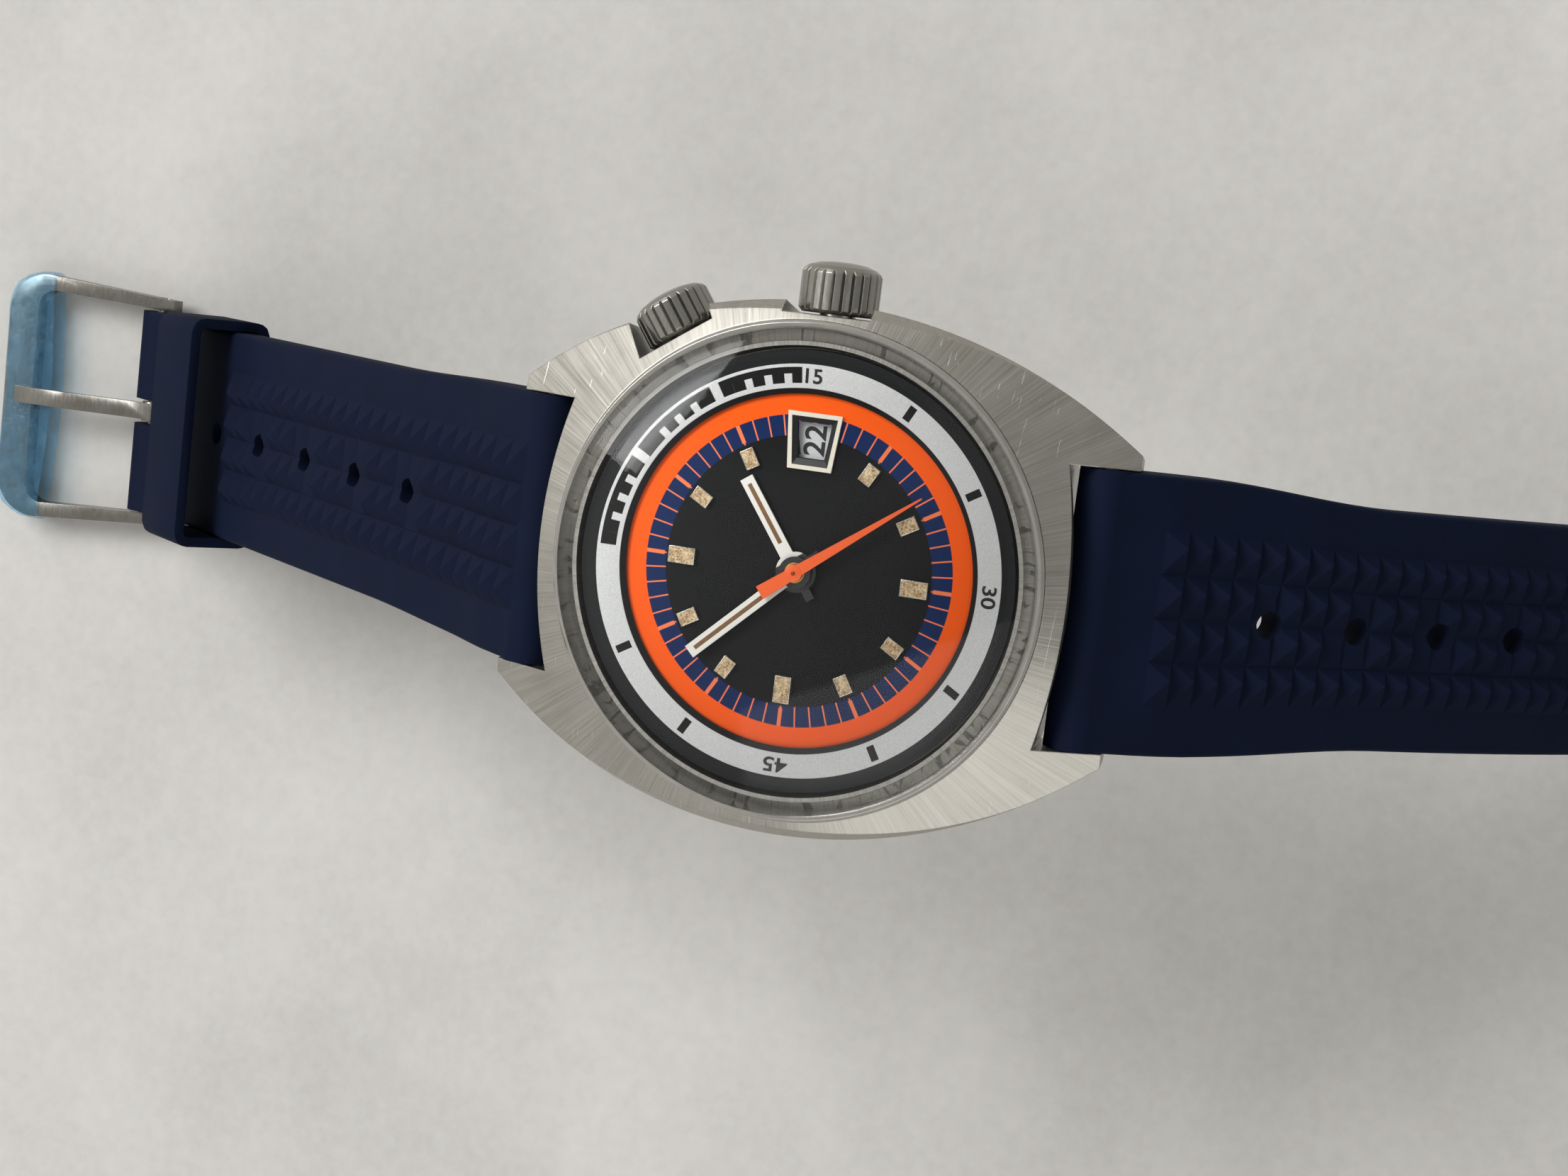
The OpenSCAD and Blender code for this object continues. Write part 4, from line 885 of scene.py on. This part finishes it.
# %% Long half
SLOPE_START, SLOPE_MAX = 29.0, 50.5
FALL, FOOT = 60.0, 31.0
LONG_ROWS = 59
LONG_HOLES = [13.4 + 7.4 * k for k in range(14)]
a0, a1 = math.radians(SLOPE_START), math.radians(SLOPE_MAX)
fall_drop = FALL * (math.cos(a0) - math.cos(a1)) / math.radians(SLOPE_MAX - SLOPE_START)
foot_drop = SHORT_LENGTH * math.sin(SHORT_SLOPE) + EYE - THICK / 2
BEND = (foot_drop - fall_drop) * a1 / (1 - math.cos(a1))
LONG_LENGTH = FALL + BEND + FOOT
TIP = LONG_WIDTH / 2


def slope(s):
    """Slope of the long half below level, in degrees, at a length from its bar."""
    if s < FALL:
        return SLOPE_START + (SLOPE_MAX - SLOPE_START) * s / FALL
    return max(SLOPE_MAX * (1 - (s - FALL) / BEND), 0)


row = LONG_LENGTH / LONG_ROWS
stations = [(row * i, band_half(row * i, LONG_WIDTH)) for i in range(LONG_ROWS + 1)]
long_half = roll_strip("strap_long_moulded", stations)
scale_count = raise_scales(long_half, 3.8, LONG_LENGTH - 2.2 * TIP)
swell(long_half, 0, 11)
cut(long_half, rod("lug_eye", EYE, band_half(0, LONG_WIDTH), 0), "UNION")
cut(long_half, rod("lug_bore", LUG_BORE, 20, 0))
punch(long_half, LONG_HOLES)
tip_keep = disc("tip_keep", TIP, 8, (0, LONG_LENGTH - TIP, 0), vertices=64)
cut(tip_keep, block("tip_body", (-12, -10, -4), (12, LONG_LENGTH - TIP, 4)), "UNION")
cut(long_half, tip_keep, "INTERSECT")

for i in reversed(range(LONG_ROWS)):
    bend = slope((i + 0.5) * row) - (slope((i - 0.5) * row) if i else 0)
    pick(long_half, "VERT", lambda p, n: p.y > i * row + 1e-4 or i == 0)
    bpy.ops.transform.rotate(value=math.radians(bend), orient_axis="X",
                             center_override=(0, i * row, 0))
leave_edit()
hang(long_half, (0, 0, math.pi), -HINGE_Y)
lowest = min(v.co.z for v in long_half.data.vertices)
finish_piece(long_half, "strap_long", rubber, smooth=22)
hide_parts("strap_long")
print("scales on the long half:", scale_count, "lowest point in mm:", round(lowest, 2))

# %% [markdown]
# ## Keeper
# The keeper is a loop of the same rubber. A block is inset at both ends, the two inner
# faces are bridged into a tunnel, and the edges are rounded.

# %% Keeper
KEEPER_START, KEEPER_LONG, KEEPER_WALL = 55.5, 8.0, 0.9
KEEPER_HALF, KEEPER_LOW, KEEPER_HIGH = 10.5, -2.3, 5.3
keeper = block("keeper_moulded", (-KEEPER_HALF, KEEPER_START, KEEPER_LOW),
               (KEEPER_HALF, KEEPER_START + KEEPER_LONG, KEEPER_HIGH))
bake_place(keeper)
pick(keeper, "FACE", lambda p, n: abs(n.y) > 0.9)
bpy.ops.mesh.inset(thickness=KEEPER_WALL, depth=0, use_individual=True)
bpy.ops.mesh.bridge_edge_loops()
pick(keeper, "EDGE", lambda p, way: abs(way.y) > 0.9 and abs(p.x) > 10.2)
bpy.ops.mesh.bevel(offset=1.3, segments=4)
pick(keeper, "EDGE", lambda p, way: abs(way.y) > 0.9 and 9.3 < abs(p.x) < 9.7)
bpy.ops.mesh.bevel(offset=0.5, segments=3)
modify(keeper, "BEVEL", width=0.18, segments=2, limit_method="ANGLE",
       angle_limit=math.radians(50))
hang(keeper, (-SHORT_SLOPE, 0, 0), HINGE_Y)
finish_piece(keeper, "strap_keeper", rubber)
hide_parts("strap_keeper")

# %% [markdown]
# ## Buckle
# The buckle and its tongue are bent and polished wire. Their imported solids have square
# edges, so a copy of each is merged, cleaned of its triangles and given a broad bevel.

# %% Buckle
wire_steel = Finish("polished_wire", Metallic=1.0)
rub = wire_steel.noise(1, 3, wire_steel.join(wire_steel.x * 1.2, wire_steel.y * 5,
                                             wire_steel.z * 5))
cloud = wire_steel.noise(0.5, 3)
wire_steel.set(
    Base_Color=(rub * 0.5 + cloud * 0.5).mix(tone(92, 90, 85), tone(146, 143, 137)),
    Roughness=0.12 + rub * 0.12 + cloud * 0.12)
wire_steel.bump(rub, 0.012, 0.3)
dress(wire_steel, "buckle_bar", "buckle_tongue", "buckle_frame")


def rounded_copy(node, name, width):
    """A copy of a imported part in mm, merged, cleaned and bevelled."""
    leave_edit()
    piece = bpy.data.objects.new(name, nodes[node].data.copy())
    scene.collection.objects.link(piece)
    piece.scale = (1 / MM, 1 / MM, 1 / MM)
    bake_place(piece)
    pick(piece, "VERT", lambda p, n: True)
    bpy.ops.mesh.remove_doubles(threshold=1e-3)
    bpy.ops.mesh.dissolve_limited(angle_limit=math.radians(1))
    modify(piece, "BEVEL", width=width, segments=3, limit_method="ANGLE",
           angle_limit=math.radians(50), use_clamp_overlap=True)
    return piece


frame_wire = rounded_copy("buckle_frame", "buckle_wire", 0.42)
finish_piece(frame_wire, "buckle", wire_steel, smooth=40)
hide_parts("buckle_frame")
tongue = rounded_copy("buckle_tongue", "tongue_wire", 0.34)
finish_piece(tongue, "buckle_tongue", wire_steel, smooth=40)
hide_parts("buckle_tongue")

# %% [markdown]
# ## Film on the buckle
# Thin blue film hugs the round end of the new buckle like a sock, and bridges the window
# with a curved edge. It starts as a slab with rounded corners. Its open side is deleted,
# the skin that is left is divided, pushed about by a twentieth of a millimetre with a fixed
# seed, pressed down where the tongue lies on it, and given a thickness. Most light goes
# through it and comes out blue.

# %% Film
film = Finish("blue_film", Coat_Weight=0.5, Specular_IOR_Level=0.6)
creases = film.noise(0.9, 3, rough=0.6)
film.set(Base_Color=creases.mix(tone(58, 122, 168), tone(112, 172, 206)),
         Roughness=0.10 + creases * 0.16)
film.bump(creases, 0.3, 0.6)
film.show_through(0.02 + creases * 0.12, (0.87, 0.95, 0.99, 1),
                  Field(film.tree, film.shader.outputs[0]))

film_low, film_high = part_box("buckle_film")
film_low, film_high = film_low / MM, film_high / MM
SPARE = 0.08
CORNER = 4.0
COLUMNS, ROWS, ROW_STEP = 16, 4, 1.1
OPEN_EDGE = film_low.y + 0.6

sock = block("film_sock", film_low - Vector((SPARE, 0, SPARE)),
             film_high + Vector((SPARE, SPARE, SPARE)))
bake_place(sock)
pick(sock, "EDGE", lambda p, way: abs(way.z) > 0.9 and p.y > film_high.y - 1)
bpy.ops.mesh.bevel(offset=CORNER, segments=10)
pick(sock, "FACE", lambda p, n: n.y < -0.9)
bpy.ops.mesh.delete(type="FACE")
pick(sock, "FACE", lambda p, n: True)
for k in range(1, COLUMNS):
    slice_all((film_low.x + (film_high.x - film_low.x) * k / COLUMNS, 0, 0), (1, 0, 0))
for k in range(1, ROWS + 1):
    slice_all((0, film_low.y + k * ROW_STEP, 0), (0, 1, 0))
for half, pull in ((9, 0.25), (6, 0.2), (3, 0.1)):
    pick(sock, "VERT", lambda p, n: p.y < OPEN_EDGE and abs(p.x) < half)
    bpy.ops.transform.translate(value=(0, -pull, 0))
pick(sock, "VERT", lambda p, n: p.y < OPEN_EDGE)
bpy.ops.transform.translate(value=(0, 0.5, 0))
pick(sock, "VERT", lambda p, n: True)
bpy.ops.transform.vertex_random(offset=0.05, seed=3)
pick(sock, "VERT", lambda p, n: abs(p.x) < 2 and p.z > film_high.z)
bpy.ops.transform.translate(value=(0, 0, -0.1))
modify(sock, "SUBSURF", levels=1, render_levels=1)
modify(sock, "SOLIDIFY", thickness=0.05, offset=0)
finish_piece(sock, "buckle", film)
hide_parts("buckle_film")

# %% [markdown]
# ## Hour markers
# Each marker is a small silver tray that holds aged, cracked luminous paint. One long and
# one short tray are modelled, then copied round the dial: long at 12, 6 and 9, short
# elsewhere, and none at 3, where the date is.

# %% Markers
DIAL_TOP = 8.1
tray_metal = mottled("tray_metal", tone(176, 172, 160), tone(222, 218, 206), 5, 0.2, 0.008,
                     Metallic=0.9)
lume = Finish("aged_lume")
stain = lume.noise(1.8, 4, rough=0.6)
cracks = lume.noise(7, 5, rough=0.7)
aged = (stain * 0.4 + cracks * 0.6).over(0.5, 0.14)
lume.set(Base_Color=aged.mix(tone(140, 92, 44), tone(244, 224, 182)),
         Roughness=0.62 + cracks * 0.2)
lume.bump(cracks, 0.12, 0.8)


def tray(name, wide, inner, outer):
    """A metal tray on the dial, with a lip round its paint."""
    piece = block(name, (-wide / 2, inner, DIAL_TOP - 0.02), (wide / 2, outer, DIAL_TOP + 0.33))
    bake_place(piece)
    pick(piece, "FACE", lambda p, n: n.z > 0.9)
    bpy.ops.mesh.inset(thickness=0.07, depth=0)
    bpy.ops.mesh.extrude_region_move(TRANSFORM_OT_translate={"value": (0, 0, -0.12)})
    modify(piece, "BEVEL", width=0.025, segments=2, limit_method="ANGLE")
    return piece


def paint(name, wide, inner, outer):
    """Paint in a tray: a slab with its top divided and uneven."""
    piece = block(name, (-wide / 2 + 0.06, inner + 0.06, DIAL_TOP + 0.1),
                  (wide / 2 - 0.06, outer - 0.06, DIAL_TOP + 0.31))
    bake_place(piece)
    pick(piece, "FACE", lambda p, n: n.z > 0.9)
    bpy.ops.mesh.subdivide(number_cuts=4)
    pick(piece, "VERT", lambda p, n: p.z > DIAL_TOP + 0.3
         and abs(p.x) < wide / 2 - 0.1 and inner + 0.1 < p.y < outer - 0.1)
    bpy.ops.transform.vertex_random(offset=0.03, seed=7)
    leave_edit()
    return piece


def copies_round(piece, hours, name):
    """Copies of a piece turned to each hour, joined into one."""
    made = []
    for hour in hours:
        only(piece)
        bpy.ops.object.duplicate(linked=False)
        copy = bpy.context.object
        copy.rotation_euler = (0, 0, math.radians(-30 * hour))
        bake_place(copy)
        made.append(copy)
    bpy.data.objects.remove(piece)
    return join(name, made)


LONG_HOURS, SHORT_HOURS = (6, 9, 12), (1, 2, 4, 5, 7, 8, 10, 11)
LONG_MARKER, SHORT_MARKER = (1.19, 7.45, 9.39), (1.0, 7.9, 9.3)
trays = join("marker_trays", [
    copies_round(tray("long_tray", *LONG_MARKER), LONG_HOURS, "long_trays"),
    copies_round(tray("short_tray", *SHORT_MARKER), SHORT_HOURS, "short_trays")])
paints = join("marker_paint", [
    copies_round(paint("long_paint", *LONG_MARKER), LONG_HOURS, "long_paints"),
    copies_round(paint("short_paint", *SHORT_MARKER), SHORT_HOURS, "short_paints")])
finish_piece(trays, "case", tray_metal)
finish_piece(paints, "case", lume)
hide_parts("hour_markers")

# %% [markdown]
# ## Paint and pins of the hands
# The slots of the white hands are filled with the same paint, darker with age. The seconds
# hand has a small hub, pressed on its arbor, and the arbor's end shows as a dark pin.

# %% Hand details
hand_lume = mottled("brown_lume", tone(96, 66, 34), tone(146, 106, 60), 6, 0.6, 0.03)
pin_bronze = mottled("pin_bronze", tone(120, 60, 24), tone(170, 92, 40), 8, 0.3, 0.004,
                     Metallic=0.8)
SLOT_PAINT = 0.145


def slot_fill(name, angle, height, slot_from, slot_to):
    """Paint in a hand's slot, whose floor is at a height."""
    piece = block(name, (-SLOT_PAINT, slot_from, height + 0.01),
                  (SLOT_PAINT, slot_to, height + 0.12))
    bake_place(piece)
    pick(piece, "FACE", lambda p, n: n.z > 0.9)
    bpy.ops.mesh.inset(thickness=0.05, depth=0.02)
    leave_edit()
    piece.rotation_euler = (0, 0, math.radians(-angle))
    bake_place(piece)
    return piece


finish_piece(slot_fill("hour_hand_paint", HOUR_ANGLE, 8.4, 2.3, 7.0), "hour", hand_lume)
finish_piece(slot_fill("minute_hand_paint", MINUTE_ANGLE, 8.8, 2.5, 9.1), "minute", hand_lume)

hub = disc("seconds_hub", 0.62, 0.12, (0, 0, 9.31), vertices=48)
bake_place(hub)
pick(hub, "EDGE", lambda p, way: p.z > 9.36)
bpy.ops.mesh.bevel(offset=0.03, segments=2)
finish_piece(hub, "seconds", needle)

pin = disc("seconds_pin", 0.14, 0.12, (0, 0, 9.38), vertices=24)
bake_place(pin)
pick(pin, "FACE", lambda p, n: n.z > 0.9)
bpy.ops.mesh.inset(thickness=0.05, depth=0.03)
finish_piece(pin, "seconds", pin_bronze)

# %% [markdown]
# ## Date
# The date shows through a window with a black sloping rim inside its cream frame. The rim
# is a four-sided slab whose hole is bridged down to the dial.

# %% Date rim
rim_black = mottled("rim_black", tone(20, 20, 21), tone(38, 38, 39), 5, 0.38, 0.006)
frame_low, frame_high = (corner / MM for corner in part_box("date_frame"))
WIRE = 0.25
WINDOW_IN, WINDOW_OUT, WINDOW_HALF = 8.0, 10.5, 1.1
RIM_SPREAD = 0.12

rim_low, rim_high, rim_half = frame_low.x + WIRE, frame_high.x - WIRE, frame_high.y - WIRE
rim_piece = block("date_rim", (rim_low, -1, DIAL_TOP - 0.02), (rim_high, 1, DIAL_TOP + 0.22))
bake_place(rim_piece)
for end, half in ((rim_low, rim_half - 0.36), (rim_high, rim_half)):
    pick(rim_piece, "VERT", lambda p, n: abs(p.x - end) < 0.01)
    bpy.ops.transform.resize(value=(1, half, 1), center_override=(end, 0, 0))
pick(rim_piece, "FACE", lambda p, n: abs(n.z) > 0.9)
bpy.ops.mesh.inset(thickness=0.03, depth=0, use_individual=True)
bpy.ops.mesh.bridge_edge_loops()
middle = (WINDOW_IN + WINDOW_OUT) / 2
for end, to_x, half in ((-1, WINDOW_IN, WINDOW_HALF - RIM_SPREAD),
                        (1, WINDOW_OUT, WINDOW_HALF + RIM_SPREAD)):
    pick(rim_piece, "VERT", lambda p, n: p.z < DIAL_TOP
         and (p.x - middle) * end > 0 and rim_low + 0.01 < p.x < rim_high - 0.01)
    chosen = [v.co for v in rim_piece.data.vertices if v.select]
    bpy.ops.transform.translate(value=(to_x - chosen[0].x, 0, 0))
    bpy.ops.transform.resize(value=(1, half / abs(chosen[0].y), 1), center_override=(0, 0, 0))
finish_piece(rim_piece, "case", rim_black, smooth=0)

# %% [markdown]
# The disc under the window carries all thirty-one numbers, set out evenly, so that the
# right one comes round each day. Each is a text turned into a mesh.

# %% Date numbers
ink_black = mottled("printing_ink", tone(12, 12, 13), tone(24, 24, 25), 6, 0.45, 0.003)


def printed_text(name, words, height, width, turn, at, lean=0.0):
    """Flat numbers as a mesh, of a height and width, facing up, then turned and placed."""
    text = start(name, bpy.ops.object.text_add)
    text.data.body = words
    text.data.resolution_u = 6
    text.data.offset = 0.018
    text.data.extrude = 0.01
    bpy.ops.object.convert(target="MESH")
    xs = [v.co.x for v in text.data.vertices]
    ys = [v.co.y for v in text.data.vertices]
    text.location = (-(max(xs) + min(xs)) / 2, -(max(ys) + min(ys)) / 2, 0)
    bake_place(text)
    text.scale = (width / (max(xs) - min(xs)), height / (max(ys) - min(ys)), 0.5)
    bake_place(text)
    text.rotation_euler = (lean, 0, 0)
    bake_place(text)
    text.rotation_euler = (0, 0, turn)
    text.location = at
    bake_place(text)
    return text


DAY_STEP = 2 * math.pi / 31
DISC_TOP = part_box("date_disc")[1].z / MM
TODAY = 22
DATE_RADIUS = 9.27
days = []
for day in range(1, 32):
    angle = (day - TODAY) * DAY_STEP
    wide = 2.15 if day > 9 else 0.95
    at = (DATE_RADIUS * math.cos(angle), DATE_RADIUS * math.sin(angle), DISC_TOP + 0.006)
    days.append(printed_text("day", str(day), 1.55, wide, angle, at))
finish_piece(join("date_numbers", days), "date_disc", ink_black, smooth=0)

# %% [markdown]
# The ring's numbers stand with their tops outwards, on a band that leans seven degrees, so
# each is leant as much before it is turned to its place.

# %% Ring numbers
BAND_RISE, BAND_WIDE = 0.2, 1.65
BAND_LOW, BAND_START = 8.65, 12.9
NUMBER_RADIUS = 13.74
number_height = BAND_LOW + (NUMBER_RADIUS - BAND_START) * BAND_RISE / BAND_WIDE + 0.012
ring_numbers = []
for words, at_clock, wide in (("15", 89.6, 1.2), ("30", 180, 1.55), ("45", 270, 1.75)):
    a = math.radians(at_clock + RING_OFFSET)
    at = (NUMBER_RADIUS * math.sin(a), NUMBER_RADIUS * math.cos(a), number_height)
    ring_numbers.append(printed_text("number", words, 1.05, wide, -a, at,
                                     lean=math.atan2(BAND_RISE, BAND_WIDE)))
finish_piece(join("ring_numbers", ring_numbers), "marks_ring", ink_black, smooth=0)

# %% [markdown]
# ## Jewels
# The pivots run in rubies. Each is a low ring, one for every pivot on the bridges.

# %% Jewels
ruby = one_grain("ruby", lambda f: f.noise(2.5, 3), tone(120, 8, 34),
                 tone(186, 20, 60), 0.08, 0.1, 0.005, 0.2, soft_edge=0, Coat_Weight=0.8)
JEWEL_HEIGHT = 2.17
JEWEL_PLACES = [(-1.978, 7.226), (-2.979, 2.788), (-0.649, -3.683), (5.2, -7.0)]


def jewel(x, y):
    piece = disc("jewel", 0.62, 0.12, (x, y, JEWEL_HEIGHT), vertices=32)
    bake_place(piece)
    pick(piece, "FACE", lambda p, n: abs(n.z) > 0.9)
    bpy.ops.mesh.inset(thickness=0.34, depth=-0.03, use_individual=True)
    bpy.ops.mesh.bridge_edge_loops()
    modify(piece, "BEVEL", width=0.03, segments=2, limit_method="ANGLE")
    return piece


finish_piece(join("ruby_jewels", [jewel(x, y) for x, y in JEWEL_PLACES]), "case", ruby)

# %% [markdown]
# ## The board
# The watch stands on a pale plastered board, which is part of the picture and not of the
# watch: a plain big floor just under the strap's lowest point.

# %% Floor
board = Finish("pale_board")
plaster = board.noise(0.035, 5, rough=0.6)
pores = board.noise(0.9, 3)
board.set(
    Base_Color=(plaster * 0.7 + pores * 0.3).mix(tone(138, 136, 133), tone(184, 182, 178)),
    Roughness=0.7 + pores * 0.15)
board.bump(pores, 0.15, 0.25)
FLOOR_GAP = 0.05 * MM
floor = start("floor", bpy.ops.mesh.primitive_plane_add, size=1,
              location=(0, 0, cad_low.z - FLOOR_GAP), scale=(4, 4, 1))
bake_place(floor)
pick(floor, "FACE", lambda p, n: True)
bpy.ops.mesh.subdivide(number_cuts=3)
leave_edit()
floor.data.materials.append(board.material)
print("floor at mm:", round(cad_low.z / MM, 2))

# %% [markdown]
# ## The size
# The box of the imported model is printed, in millimetres.

# %% Sizes
print("packed mm:", [round(x / MM, 2) for x in cad_high - cad_low])
